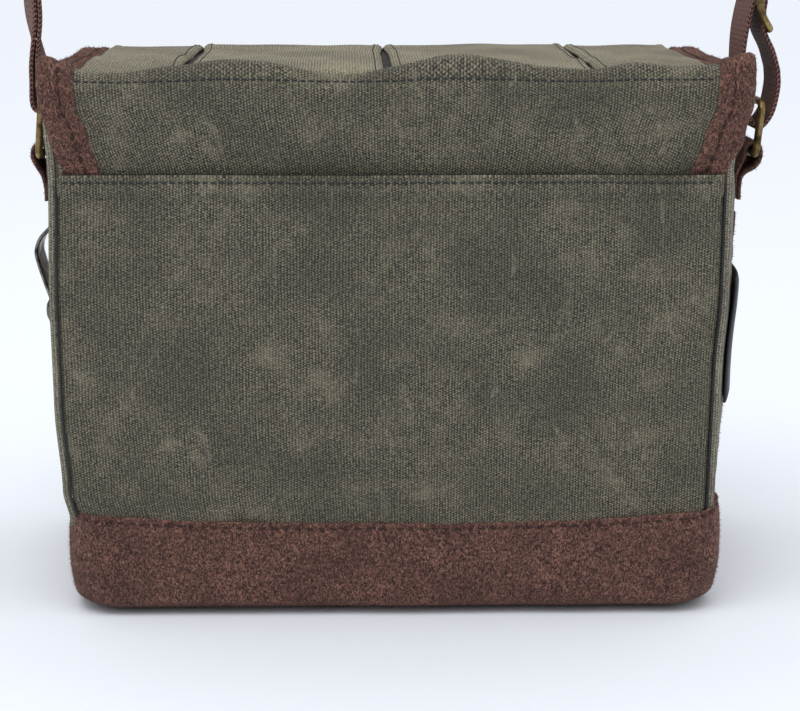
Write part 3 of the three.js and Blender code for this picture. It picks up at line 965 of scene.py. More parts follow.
def smooth_path(points: Sequence[tuple[float, float, float]], step: float = 1.5 * MM) -> list[Vector]:
    """A smooth line through a few points.

    Args:
        points: What it passes through.
        step: The distance between the points of the result.

    Returns:
        Points along the line.
    """
    ends = [Vector(p) for p in points]
    ends = [2 * ends[0] - ends[1], *ends, 2 * ends[-1] - ends[-2]]
    line = []
    for a, b, c, d in zip(ends, ends[1:], ends[2:], ends[3:]):
        count = max(2, math.ceil((c - b).length / step))
        for k in range(count):
            t = k / count
            line.append(0.5 * (2 * b + (c - a) * t + (2 * a - 5 * b + 4 * c - d) * t * t
                               + (3 * b - 3 * c + d - a) * t ** 3))
    return [*line, ends[-2]]


# ---------------------------------------------------------------- the bag's form


@dataclass(frozen=True)
class BagForm:
    """The shape that every panel is cut from: a box that bulges at the sides and draws in towards its base."""

    seam_left: Outline = profile_through([
        (0.02, 0.1200), (0.038, 0.1235), (0.050, 0.1260), (0.084, 0.1281), (0.124, 0.1284), (0.172, 0.1272),
        (0.2, 0.1285)])
    seam_right: Outline = profile_through([
        (0.02, 0.1185), (0.038, 0.1210), (0.056, 0.1212), (0.096, 0.1216), (0.128, 0.1232), (0.172, 0.1232),
        (0.2, 0.1252)])
    side_left: Outline = profile_through([
        (0.02, 0.1250), (0.038, 0.1262), (0.055, 0.1345), (0.1, 0.1352), (0.13, 0.1368), (0.172, 0.1366),
        (0.198, 0.1322)])
    side_right: Outline = profile_through([
        (0.02, 0.1252), (0.036, 0.1262), (0.05, 0.1342), (0.085, 0.1366), (0.12, 0.1370), (0.16, 0.1370),
        (0.175, 0.1360), (0.198, 0.1305)])
    back_y: float = -0.0640
    front_y: float = 0.0608
    wall_top: float = 0.198
    belly_power: float = 1.9
    softness: float = 1.1 * MM
    soft_size: float = 34 * MM

    def seam_half(self, side: Side, z: float) -> float:
        """How far a back or front seam is from the middle."""
        return self.seam_left(z) if side is Side.LEFT else self.seam_right(z)

    def side_half(self, side: Side, z: float) -> float:
        """How far the middle of a gusset is from the bag's middle."""
        return self.side_left(z) if side is Side.LEFT else self.side_right(z)

    def side_point(self, side: Side, y: float, z: float, lift: float = 0.0) -> Vector:
        """A point on a gusset's face.

        Args:
            side: Which gusset.
            y: Front to back.
            z: Height.
            lift: How far off the face.

        Returns:
            The point.
        """
        share = (y - self.back_y) / (self.front_y - self.back_y) * 2 - 1
        swell = 1 - abs(share) ** self.belly_power
        seam = self.seam_half(side, z)
        soft = self.softness * lumps(y, z, self.soft_size, 3 * side.value)
        return Vector((side.value * (mix(seam, self.side_half(side, z), swell) + soft * swell + lift), y, z))


FORM = BagForm()


@dataclass
class Boot:
    """The suede boot round the base, one wrap with rounded corners and sewn box corners, and the board in it."""

    half_width: float = 0.1274
    half_depth: float = 0.0657
    corner: float = 0.0110
    foot_corner: float = 0.0210
    foot: float = 0.0070
    foot_pull: float = 0.0190
    thick: float = 2 * MM
    middle_height: float = 0.0372
    seam_height: float = 0.945
    inside_floor: float = 6 * MM
    bulge: float = 1.1 * MM
    unevenness: float = 0.7 * MM
    dent_at: tuple[float, float] = (0.1205, 0.0605)
    dent_reach: float = 2.2 * MM
    dent_shrink: float = 1.6 * MM / 0.13
    seam_reach: float = 0.03
    seam_shrink: float = 0.005
    steps: int = 300

    def around(self, share: float, inset: float, corner: float = 11 * MM) -> tuple[float, float]:
        """A point on the rounded rectangle.

        Args:
            share: How far round, from 0 to 1, starting in the middle of the back.
            inset: How far inside the outline.
            corner: The corners' radius.

        Returns:
            x and y.
        """
        w, d, r = self.half_width - inset, self.half_depth - inset, max(1 * MM, corner - inset)
        straight_x, straight_y, arc = 2 * (w - r), 2 * (d - r), math.pi * r / 2
        pieces = [(straight_x / 2, "b"), (arc, 0), (straight_y, "r"), (arc, 1), (straight_x, "f"), (arc, 2),
                  (straight_y, "l"), (arc, 3), (straight_x / 2, "e")]
        distance = share * sum(length for length, _ in pieces)
        for length, kind in pieces:
            if distance <= length or kind == "e":
                break
            distance -= length
        if kind == "b":
            return distance, -d
        if kind == "e":
            return -(w - r) + distance, -d
        if kind == "r":
            return w, -(d - r) + distance
        if kind == "f":
            return (w - r) - distance, d
        if kind == "l":
            return -w, (d - r) - distance
        centre = [(w - r, -(d - r)), (w - r, d - r), (-(w - r), d - r), (-(w - r), -(d - r))][kind]
        angle = -math.pi / 2 + kind * math.pi / 2 + distance / r
        return centre[0] + r * math.cos(angle), centre[1] + r * math.sin(angle)

    def top_height(self, x: float, y: float) -> float:
        """How high the boot's edge is: lowest in the middle of the back and front.

        Args:
            x: Across the bag.
            y: Front to back.

        Returns:
            The height.
        """
        rise = 5 * MM * min(1.0, abs(x) / self.half_width) ** 2.6
        side = 3.5 * MM * smooth(abs(x), self.half_width - 8 * MM, self.half_width)
        return self.middle_height + rise + side + 0.5 * MM * lumps(x, y, 0.03, 5)

    def wall_point(self, share: float, height: float, inset: float = 0.0) -> Vector:
        """A point on the boot's outside.

        Args:
            share: How far round.
            height: From 0 at the floor to 1 at the edge.
            inset: How far inside.

        Returns:
            The point.
        """
        x, y = self.around(share, inset)
        top = self.top_height(x, y)
        z = mix(0.0, top, height)
        corner = mix(self.foot_corner, self.corner, smooth(height, 0.0, 0.5))
        bulge = self.bulge * math.sin(math.pi * min(1, z / top)) + self.unevenness * lumps(x, z + y, 0.024, 9)
        curl = max(0.0, 1 - z / self.foot)
        pull = self.foot_pull * (1 - math.sqrt(max(0.0, 1 - curl ** 2)))
        x, y = self.around(share, inset - bulge + pull * 0.8, corner)
        from_corner = math.hypot(abs(x) - self.dent_at[0], abs(y) - self.dent_at[1])
        shrink = 1 - self.dent_shrink * ridge(from_corner, 0, self.dent_reach) * smooth(z, 0.026, 0.014)
        shrink -= self.seam_shrink * ridge(height, self.seam_height, self.seam_reach)
        return Vector((x * shrink, y * shrink, z))

    def build(self) -> None:
        """Makes the boot and its stitches."""
        shares = [k / self.steps for k in range(self.steps)]
        rings = [[Vector((*self.around(s, inset), self.inside_floor)) for s in shares]
                 for inset in (20 * MM, self.thick * 1.2)]
        edge = [(0.5, 1), (0.9, 1), (0.975, 1), (0.996, 0.75), (1.0, 0.5), (0.994, 0.12)]
        side = [1 - 0.02 * k for k in range(1, 39)] + [0.21, 0.18, 0.15, 0.12, 0.09, 0.06, 0.035, 0.015, 0.0]
        for height, share in edge + [(height, 0) for height in side]:
            rings.append([self.wall_point(s, height, self.thick * share) for s in shares])
        for inset in (16 * MM, 30 * MM, 45 * MM):
            rings.append([Vector((*self.around(s, inset, self.foot_corner), 0.0)) for s in shares])
        points, uvs = [], []
        run = 0.0
        length = 4 * (self.half_width + self.half_depth)
        for k, ring in enumerate(rings):
            if k:
                run += (ring[0] - rings[k - 1][0]).length
            for share, point in zip(shares, ring):
                points.append(point)
                uvs.append((share * length, -run))
        faces = [face[::-1] for face in tube_faces(len(rings), self.steps)]
        mesh = MAKE.mesh_from("base_boot_wrap", points, faces, uvs)
        self.close_seam(mesh, length)
        MAKE.finish_piece("base_boot_wrap", mesh, SUEDE, "bag", ["base_boot"])
        line = []
        for k in range(401):
            low = self.wall_point(k / 400, self.seam_height)
            out = Vector((low.x / self.half_width, low.y / self.half_depth, 0)).normalized()
            line.append(low + out * 0.3 * MM)
        MAKE.stitches("base_boot_stitches", line, BOOT_ROW, "bag")
        self.build_board()

    def close_seam(self, mesh: bpy.types.Mesh, length: float) -> None:
        """Keeps the cloth coordinates even where the wrap meets itself.

        Args:
            mesh: The boot's mesh.
            length: The wrap's length, at which its coordinates start again.
        """
        layer = mesh.uv_layers[0].data
        for polygon in mesh.polygons:
            across = [layer[index].uv.x for index in polygon.loop_indices]
            if len(across) == 4 and max(across) - min(across) > length / 2:
                for index in polygon.loop_indices:
                    if layer[index].uv.x < length / 2:
                        layer[index].uv.x += length

    def build_board(self) -> None:
        """Dresses the stiff board inside, which keeps its CAD shape."""
        board = bpy.data.objects["base_board"].data
        board.materials.clear()
        board.materials.append(BOARD.material())


@dataclass
class Walls:
    """The canvas walls: padded back and front, two gussets, and the slip pockets sewn over back and front."""

    pocket_mouth: float = 0.1725
    front_mouth: float = 0.1640
    pocket_foot: float = 0.0335
    canvas: float = 1.7 * MM
    hem: float = 6.5 * MM
    back_drop: float = 7 * MM
    piping: float = 1.5 * MM
    # How far the sheet that paints the mouth's shadow rises over the lip.
    shadow_rise: float = 0.7 * MM
    mouth_row: float = 2.1 * MM
    # How far that shadow sheet reaches down behind the lip.
    shadow_drop: float = 6 * MM
    gusset_inset: tuple[float, float] = (2.2 * MM, 1.0 * MM)
    gusset_foot: float = 0.024

    def lip(self, mouth: float, share: float) -> float:
        """The height of a pocket's mouth, which is never quite straight."""
        return mouth + 0.5 * MM * lumps(share, 0, 0.35, 4)

    def wrinkles(self, x: float, z: float, seed: float) -> float:
        """How far worn canvas stands off a flat panel.

        Args:
            x: Across the panel.
            z: Up the panel.
            seed: One for each panel.

        Returns:
            Metres outward.
        """
        slow = 1.7 * MM * lumps(x, z, 0.06, seed)
        fold = 1.1 * MM * lumps(x + 0.5 * z, 0.6 * z - 0.4 * x, 0.024, seed + 1)
        fine = 0.22 * MM * lumps(x, z, 0.009, seed + 2)
        return slow + fold + fine

    def pocket_point(self, x_share: float, z: float, mouth: float, face: int, base_y: float) -> Vector:
        """A point on a slip pocket's outside.

        Args:
            x_share: From -1 at the left seam to 1 at the right.
            z: Height.
            mouth: The mouth's height.
            face: -1 for the back, 1 for the front.
            base_y: Where the panel stands.

        Returns:
            The point.
        """
        half = FORM.seam_half(Side.RIGHT if x_share > 0 else Side.LEFT, z)
        x = x_share * half
        edge = (1 - abs(x_share)) * half
        below = mouth - z
        roll = 1.5 * MM * (1 - smooth(edge, 0, 2.6 * MM))
        hem = 1.2 * MM * (1 - smooth(below, self.hem, self.hem + 1.2 * MM))
        hem -= 0.8 * MM * ridge(below, self.mouth_row, 0.9 * MM)
        belly = 1.0 * MM * (1 - x_share ** 2) * math.sin(math.pi * min(1, z / mouth) ** 0.8)
        off = belly + hem - roll + self.wrinkles(x, z, 11 + face) * smooth(edge, 0, 12 * MM)
        return Vector((x, base_y + face * off, z))

    def slip_pocket(self, name: str, node: str, face: int, base_y: float, mouth: float) -> None:
        """Makes one slip pocket panel with its hem stitches.

        Args:
            name: The piece's name.
            node: The CAD node it stands for.
            face: -1 for the back, 1 for the front.
            base_y: Where it stands.
            mouth: The mouth's height.
        """
        height = mouth - self.pocket_foot

        def surface(u: float, v: float) -> Vector:
            """The panel's outside.

            Args:
                u: The share across, from 0 to 1.
                v: The share along, from 0 to 1.

            Returns:
                The point.
            """
            share = (2 * u - 1) * -face
            lip = self.lip(mouth, share)
            return self.pocket_point(share, mix(self.pocket_foot, lip, v), lip, face, base_y)

        mesh = MAKE.sheet(name, surface, (2 * 0.128, height), self.canvas, 1.6 * MM)
        MAKE.finish_piece(name, mesh, CANVAS, "bag", [node])
        line = []
        for k in range(160):
            share = -0.985 + 1.97 * k / 159
            lip = self.lip(mouth, share)
            point = self.pocket_point(share, lip - self.mouth_row, lip, face, base_y)
            line.append(point + Vector((0, face * 0.42 * MM, 0)))
        MAKE.stitches(f"{name}_mouth_stitches", line, CANVAS_ROW, "bag")

    def binding(self, name: str, face: int, base_y: float, mouth: float) -> None:
        """Makes a near-black sheet behind the pocket's mouth that just shows over the lip, which paints the shadow
        line there.

        Args:
            name: The piece's name.
            face: -1 for the back, 1 for the front.
            base_y: Where the pocket stands.
            mouth: The mouth's height.
        """

        def surface(u: float, v: float) -> Vector:
            """The tape's outside.

            Args:
                u: The share across, from 0 to 1.
                v: The share along, from 0 to 1.

            Returns:
                The point.
            """
            share = (2 * u - 1) * -face * 0.985
            lip = self.lip(mouth, share)
            z = mix(lip - self.shadow_drop, lip + self.shadow_rise, v)
            point = self.pocket_point(share, min(lip, z), lip, face, base_y)
            return Vector((point.x, point.y - face * (self.canvas + 0.15 * MM), z))

        mesh = MAKE.sheet(name, surface, (0.252, 7 * MM), 0.7 * MM, 1.5 * MM)
        # The near-black sheet paints the shadow line over the pocket's mouth.
        MAKE.finish_piece(name, mesh, PAINTED_SHADE_CLOTH, "bag")

    def seam(self, side: Side) -> None:
        """Makes the piping beside a back seam and the dark line of thread in the groove between them, which also
        paints the groove's shade.

        Args:
            side: Which side.
        """
        heights = [mix(0.036, 0.196, k / 80) for k in range(81)]
        pipe = [Vector((side.value * (FORM.seam_half(side, z) + self.piping + 0.5 * MM), FORM.back_y + 2.6 * MM, z))
                for z in heights]
        name = f"seam_piping_{side.word}"
        mesh = MAKE.sweep(name, pipe, round_section(self.piping), across=Vector((1, 0, 0)))
        # The piping wears the paler canvas copy, which paints the light from the sides.
        MAKE.finish_piece(name, mesh, SIDE_LIT_CANVAS, "bag")
        # The dark line in the groove stands for the seam's thread and also paints the groove's shade.
        groove = [Vector((side.value * (FORM.seam_half(side, z) + 0.3 * MM), FORM.back_y + 1.1 * MM, z))
                  for z in heights[:-14]]
        name = f"seam_thread_{side.word}"
        mesh = MAKE.sweep(name, groove, round_section(0.36 * MM, 8), across=Vector((1, 0, 0)))
        MAKE.finish_piece(name, mesh, DARK_THREAD, "bag")

    def wall(self, name: str, face: int, y: float, thick: float, seed: float) -> None:
        """Makes the padded back or front panel.

        Args:
            name: The node it stands for.
            face: -1 for the back, 1 for the front.
            y: Its outer face.
            thick: Its thickness.
            seed: Picks its wrinkles.
        """

        def surface(u: float, v: float) -> Vector:
            """The panel's outside.

            Args:
                u: The share across, from 0 to 1.
                v: The share along, from 0 to 1.

            Returns:
                The point.
            """
            top = FORM.wall_top - (self.back_drop if face < 0 else 0.0)
            z = mix(0.01, top + 0.8 * MM * lumps(u, 0, 0.3, seed), v)
            share = (2 * u - 1) * -face
            x = share * (FORM.seam_half(Side.RIGHT if share > 0 else Side.LEFT, z) - 1.2 * MM)
            return Vector((x, y + face * 0.4 * self.wrinkles(x, z, seed), z))

        mesh = MAKE.sheet(f"{name}_cloth", surface, (0.252, 0.188), thick, 4 * MM)
        MAKE.finish_piece(f"{name}_cloth", mesh, CANVAS, "bag", [name])

    def gusset(self, side: Side) -> None:
        """Makes one gusset, whose edges turn in.

        Args:
            side: Which side.
        """
        low, high = self.gusset_foot, FORM.wall_top
        back, front = FORM.back_y + self.gusset_inset[0], FORM.front_y - self.gusset_inset[1]

        def surface(u: float, v: float) -> Vector:
            """The gusset's outside.

            Args:
                u: The share across, from 0 to 1.
                v: The share along, from 0 to 1.

            Returns:
                The point.
            """
            y = mix(back, front, u if side is Side.RIGHT else 1 - u)
            point = FORM.side_point(side, y, mix(low, high, v))
            point.x -= side.value * 1.2 * MM * (1 - smooth(min(y - back, front - y), 0, 3 * MM))
            return point

        name = f"gusset_{side.word}"
        mesh = MAKE.sheet(f"{name}_cloth", surface, (0.128, high - low), 3 * MM, 1.9 * MM)
        # The gusset wears the paler canvas copy, which paints the light from the sides.
        MAKE.finish_piece(f"{name}_cloth", mesh, SIDE_LIT_CANVAS, "bag", [name])

    def build(self) -> None:
        """Makes all the walls."""
        self.slip_pocket("back_pocket_cloth", "back_pocket", -1, FORM.back_y, self.pocket_mouth)
        self.slip_pocket("front_pocket_cloth", "front_pocket", 1, 0.0600, self.front_mouth)
        # A near-black sheet paints the shadow line over the back pocket's mouth.
        self.binding("back_pocket_binding", -1, FORM.back_y, self.pocket_mouth)
        self.wall("back_panel", -1, -0.0548, 4.6 * MM, 21)
        self.wall("front_panel", 1, 0.0542, 4.4 * MM, 23)
        for side in Side:
            self.gusset(side)
            self.seam(side)


@dataclass
class Insert:
    """The padded insert: five panels and two dividers of foam in brushed cloth."""

    slack_share: float = 0.15
    voxel: float = 4 * MM
    voxel_share: float = 0.75
    frames: int = 20

    def pad(self, name: str, body: str) -> None:
        """Makes one pad inside its node's box and swells it.

        Args:
            name: The node it stands for.
            body: The body it rides on.
        """
        low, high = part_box(name)
        low, high = Vector(low), Vector(high)
        slack = self.slack_share * min(high - low)
        inset = Vector((slack, slack, slack))
        low, high = low + inset, high - inset
        size = high - low
        mesh = bpy.data.meshes.new(f"{name}_pad")
        shape = bmesh.new()
        bmesh.ops.create_cube(shape, size=1.0)
        for vertex in shape.verts:
            vertex.co = Vector([(low[k] + high[k]) / 2 + vertex.co[k] * size[k] for k in range(3)])
        bmesh.ops.bevel(shape, geom=shape.edges[:], offset=min(size) * 0.42, segments=3, affect="EDGES", profile=0.6)
        shape.to_mesh(mesh)
        shape.free()
        piece = bpy.data.objects.new(f"{name}_pad", mesh)
        bpy.context.scene.collection.objects.link(piece)
        self.swell(piece, min(self.voxel, self.voxel_share * min(size)), slack)
        self.unwrap(piece.data)
        piece.data.materials.append(FELT.material())
        for polygon in piece.data.polygons:
            polygon.use_smooth = True
        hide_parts(name)
        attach(piece, body)
        LOG.info("made %s", piece.name)

    def swell(self, piece: bpy.types.Object, voxel: float, cap: float) -> None:
        """Fills the pad under pressure and keeps each point near its place.

        Args:
            piece: The pad.
            voxel: The size of the even mesh, finer than the pad is thick so that no pad is lost.
            cap: How far a point may move, which is the room the pad was given.
        """
        bpy.context.view_layer.objects.active = piece
        remesh = piece.modifiers.new("even", "REMESH")
        remesh.mode = "VOXEL"
        remesh.voxel_size = voxel
        piece.data = bpy.data.meshes.new_from_object(piece.evaluated_get(bpy.context.evaluated_depsgraph_get()))
        piece.modifiers.clear()
        start = [vertex.co.copy() for vertex in piece.data.vertices]
        cloth = piece.modifiers.new("fill", "CLOTH")
        cloth.settings.use_pressure = True
        cloth.settings.uniform_pressure_force = 4
        cloth.settings.effector_weights.gravity = 0
        for frame_number in range(1, self.frames + 1):
            bpy.context.scene.frame_set(frame_number)
        swollen = piece.evaluated_get(bpy.context.evaluated_depsgraph_get()).data
        ends = [vertex.co.copy() for vertex in swollen.vertices]
        piece.modifiers.clear()
        for vertex, a, b in zip(piece.data.vertices, start, ends):
            move = b - a
            vertex.co = a + move * min(1.0, cap / max(move.length, 1e-9))
        bpy.context.scene.frame_set(1)
        rounder = piece.modifiers.new("rounder", "SUBSURF")
        rounder.levels = rounder.render_levels = 1
        piece.data = bpy.data.meshes.new_from_object(piece.evaluated_get(bpy.context.evaluated_depsgraph_get()))
        piece.modifiers.clear()

    def unwrap(self, mesh: bpy.types.Mesh) -> None:
        """Gives the cloth coordinates in metres, taken flat from the side that each face looks to.

        Args:
            mesh: The pad's mesh.
        """
        layer = mesh.uv_layers.new(name="cloth") if not mesh.uv_layers else mesh.uv_layers[0]
        for polygon in mesh.polygons:
            axis = max(range(3), key=lambda k: abs(polygon.normal[k]))
            first, second = [k for k in range(3) if k != axis]
            for index in polygon.loop_indices:
                at = mesh.vertices[mesh.loops[index].vertex_index].co
                layer.data[index].uv = (at[first], at[second])

    def build(self) -> None:
        """Makes the five panels and both dividers."""
        for name in ("insert_floor", "insert_back", "insert_front", "insert_left", "insert_right"):
            self.pad(name, "bag")
        for name in ("divider_left", "divider_right"):
            self.pad(name, name)


@dataclass
class SideTrim:
    """What is sewn on the gussets: the left pocket and its clip, the right strip and its blank patch."""

    pocket_half: float = 0.0335
    pocket_foot: float = 0.044
    pocket_mouth: float = 0.1150
    strip_y: tuple[float, float] = (-0.005, 0.015)
    strip_z: tuple[float, float] = (0.036, 0.150)
    strip_lift: float = 3.0 * MM
    patch_y: tuple[float, float] = (-0.044, -0.007)
    patch_z: tuple[float, float] = (0.080, 0.129)
    patch_lift: float = 2.3 * MM
    patch_flare: float = 0.7 * MM

    def pocket(self) -> None:
        """Makes the left side pocket, which stands off the gusset in the middle."""

        def surface(u: float, v: float) -> Vector:
            """The pocket's outside.

            Args:
                u: The share across, from 0 to 1.
                v: The share along, from 0 to 1.

            Returns:
                The point.
            """
            y = mix(self.pocket_half, -self.pocket_half, u)
            z = mix(self.pocket_foot, self.pocket_mouth + 0.8 * MM * lumps(y, 0, 0.02, 8), v)
            open_share = smooth(z, self.pocket_foot, 0.085)
            stand = mix(1.2, 3.6, open_share) * MM * (1 - abs(y / self.pocket_half) ** 4) + 0.4 * MM
            hem = 0.9 * MM * smooth(z, self.pocket_mouth - 5.5 * MM, self.pocket_mouth - 4.2 * MM)
            return FORM.side_point(Side.LEFT, y, z, stand + hem + 0.5 * MM * lumps(y, z, 0.018, 14))

        mesh = MAKE.sheet("side_pocket_cloth", surface, (0.068, 0.071), 1.6 * MM, 1.7 * MM)
        MAKE.finish_piece("side_pocket_cloth", mesh, CANVAS, "bag", ["side_pocket_left"])

    def clip(self) -> None:
        """Makes the flat metal bow over the pocket's mouth."""
        path = smooth_path([(-0.1376, 0, 0.1452), (-0.1400, 0, 0.1436), (-0.1432, 0, 0.1400), (-0.1448, 0, 0.1350),
                            (-0.1440, 0, 0.1300), (-0.1418, 0, 0.1225), (-0.1398, 0, 0.1165), (-0.1388, 0, 0.1130)],
                           0.8 * MM)
        mesh = MAKE.sweep("side_clip_bow", path, flat_section(18 * MM, 1.5 * MM), across=Vector((0, 1, 0)))
        MAKE.finish_piece("side_clip_bow", mesh, NICKEL, "bag", ["side_clip"])

    def strip(self) -> None:
        """Makes the suede strip down the right gusset and the patch over it."""

        def strip_surface(u: float, v: float) -> Vector:
            """The strip's outside."""
            y, z = mix(*self.strip_y, u), mix(*self.strip_z, v)
            return FORM.side_point(Side.RIGHT, y, z, self.strip_lift + 0.35 * MM * lumps(y, z, 0.006, 6))

        mesh = MAKE.sheet("side_strip_suede", strip_surface, (0.020, 0.114), 1.7 * MM, 1.6 * MM)
        MAKE.finish_piece("side_strip_suede", mesh, SUEDE, "bag", ["side_strip_right"])

        def patch_surface(u: float, v: float) -> Vector:
            """The patch's outside, flared at its top."""
            lift = self.patch_lift + self.patch_flare * smooth(v, 0.55, 1.0)
            return FORM.side_point(Side.RIGHT, mix(*self.patch_y, u), mix(*self.patch_z, v), lift)

        mesh = MAKE.sheet("side_patch_sheet", patch_surface, (0.037, 0.049), 1.8 * MM, 2 * MM)
        MAKE.finish_piece("side_patch_sheet", mesh, RUBBER, "bag", ["side_patch_right"])

    def build(self) -> None:
        """Makes the trim on both sides."""
        self.pocket()
        self.clip()
        self.strip()


@dataclass
class FlapForm:
    """The flap's outside seen from the side: sewn root, up the back, over the crest and the top, down the front."""

    bend: float = 7 * MM
    back: float = -0.0625
    front: float = 0.0655
    top: float = 0.2108
    root: tuple[float, float] = (-0.0592, 0.152)
    foot: tuple[float, float] = (0.0675, 0.062)
    sag: float = 1.2 * MM
    row_below: float = 4.8 * MM
    probe: float = 1.5 * MM
    outer_half: Outline = profile_through([
        (0.15, 0.1230), (0.172, 0.1252), (0.188, 0.1303), (0.2, 0.1331), (0.211, 0.1336)])
    inner_half: Outline = profile_through([
        (0.15, 0.1088), (0.172, 0.1107), (0.187, 0.1152), (0.199, 0.1194), (0.211, 0.1203)])

    def __post_init__(self) -> None:
        """Lays the line out and measures along it."""
        low = self.top - self.bend
        turn = [math.pi / 2 * k / 12 for k in range(13)]
        root = [(mix(self.root[0], self.back, k / 24), mix(self.root[1], low, k / 24)) for k in range(24)]
        crest = [(self.back + self.bend * (1 - math.cos(a)), self.top - self.bend * (1 - math.sin(a))) for a in turn]
        lip = [(self.front - self.bend * (1 - math.sin(a)), self.top - self.bend * (1 - math.cos(a))) for a in turn]
        flat = [(mix(crest[-1][0], lip[0][0], k / 60), self.top - self.sag * math.sin(math.pi * k / 60))
                for k in range(1, 60)]
        down = [(mix(self.front, self.foot[0], k / 60), mix(low, self.foot[1], k / 60)) for k in range(1, 61)]
        self.line = root + crest + flat + lip + down
        self.runs = [0.0]
        for (a, b), (c, d) in zip(self.line, self.line[1:]):
            self.runs.append(self.runs[-1] + math.hypot(c - a, d - b))
        ends = [len(root)]
        for part in (crest, flat, lip):
            ends.append(ends[-1] + len(part))
        self.crest_start, self.crest_end = self.runs[ends[0]], self.runs[ends[1] - 1]
        self.lip_start = self.runs[ends[2]]
        self.middle = (self.crest_end + self.lip_start) / 2
        self.total = self.runs[-1]

    def place(self, run: float) -> tuple[float, float]:
        """Where the line is that far from the root.

        Args:
            run: How far from the root.

        Returns:
            y and z.
        """
        run = min(self.total, max(0.0, run))
        low, high = 0, len(self.runs) - 1
        while high - low > 1:
            middle = (low + high) // 2
            low, high = (middle, high) if self.runs[middle] <= run else (low, middle)
        t = (run - self.runs[low]) / (self.runs[high] - self.runs[low])
        return mix(self.line[low][0], self.line[high][0], t), mix(self.line[low][1], self.line[high][1], t)

    def half(self, run: float, inner: bool = False) -> float:
        """Half the flap's width, or the distance to a side band's inner edge.

        Args:
            run: How far from the root.
            inner: Whether to read the band's inner edge.

        Returns:
            Metres from the middle.
        """
        outline = self.inner_half if inner else self.outer_half
        height = self.place(run)[1] if run < self.crest_end else math.inf
        return outline(height)

    def waves(self, x: float, run: float) -> float:
        """How far the soft flap stands off its line.

        Args:
            x: Across the bag.
            run: How far from the root.

        Returns:
            Metres outward.
        """
        slow = 1.0 * MM * lumps(x, run, 0.05, 31)
        fine = 0.35 * MM * lumps(x, run, 0.016, 32)
        loose = smooth(run, 0.012, 0.04)
        sway = 7.5 * MM * lumps(x, 0, 0.042, 35) + 2.2 * MM * ridge(x, 0.062, 0.011)
        dip = 1.6 * MM * ridge(x, 0.102, 0.012)
        welt = 1.5 * MM * ridge(run, self.crest_end - 1.0 * MM, 2.2 * MM)
        welt -= 0.9 * MM * ridge(run, self.crest_start + self.row_below, 1.0 * MM)
        crest = ridge(run, self.crest_end, 6 * MM) * (2.0 * MM + sway - dip) + welt
        return (slow + fine) * loose + crest

    def point(self, x: float, run: float, lift: float = 0.0) -> Vector:
        """A point on the flap's outside.

        Args:
            x: Across the bag.
            run: How far from the root.
            lift: How far off the canvas.

        Returns:
            The point.
        """
        y, z = self.place(run)
        before, after = self.place(run - self.probe), self.place(run + self.probe)
        along = Vector((0, after[0] - before[0], after[1] - before[1])).normalized()
        out = Vector((0, -along.z, along.y))
        return Vector((x, y, z)) + out * (lift + self.waves(x, run))


FLAP = FlapForm()


@dataclass(frozen=True)
class Fold:
    """A place where cloth bends between two bodies."""

    first: str
    second: str
    start: tuple[float, float, float]
    end: tuple[float, float, float]

    def bend(self, piece: bpy.types.Object) -> None:
        """Bakes the piece's place into its mesh; it follows neither body."""
        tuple(self.start)
        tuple(self.end)
        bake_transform(piece)


CREST_FOLD = Fold("bag", "flap_top", (0, -0.0625, 0.199), (0, -0.0485, 0.213))
LIP_FOLD = Fold("flap_top", "flap_front", (0, 0.0575, 0.213), (0, 0.0715, 0.199))


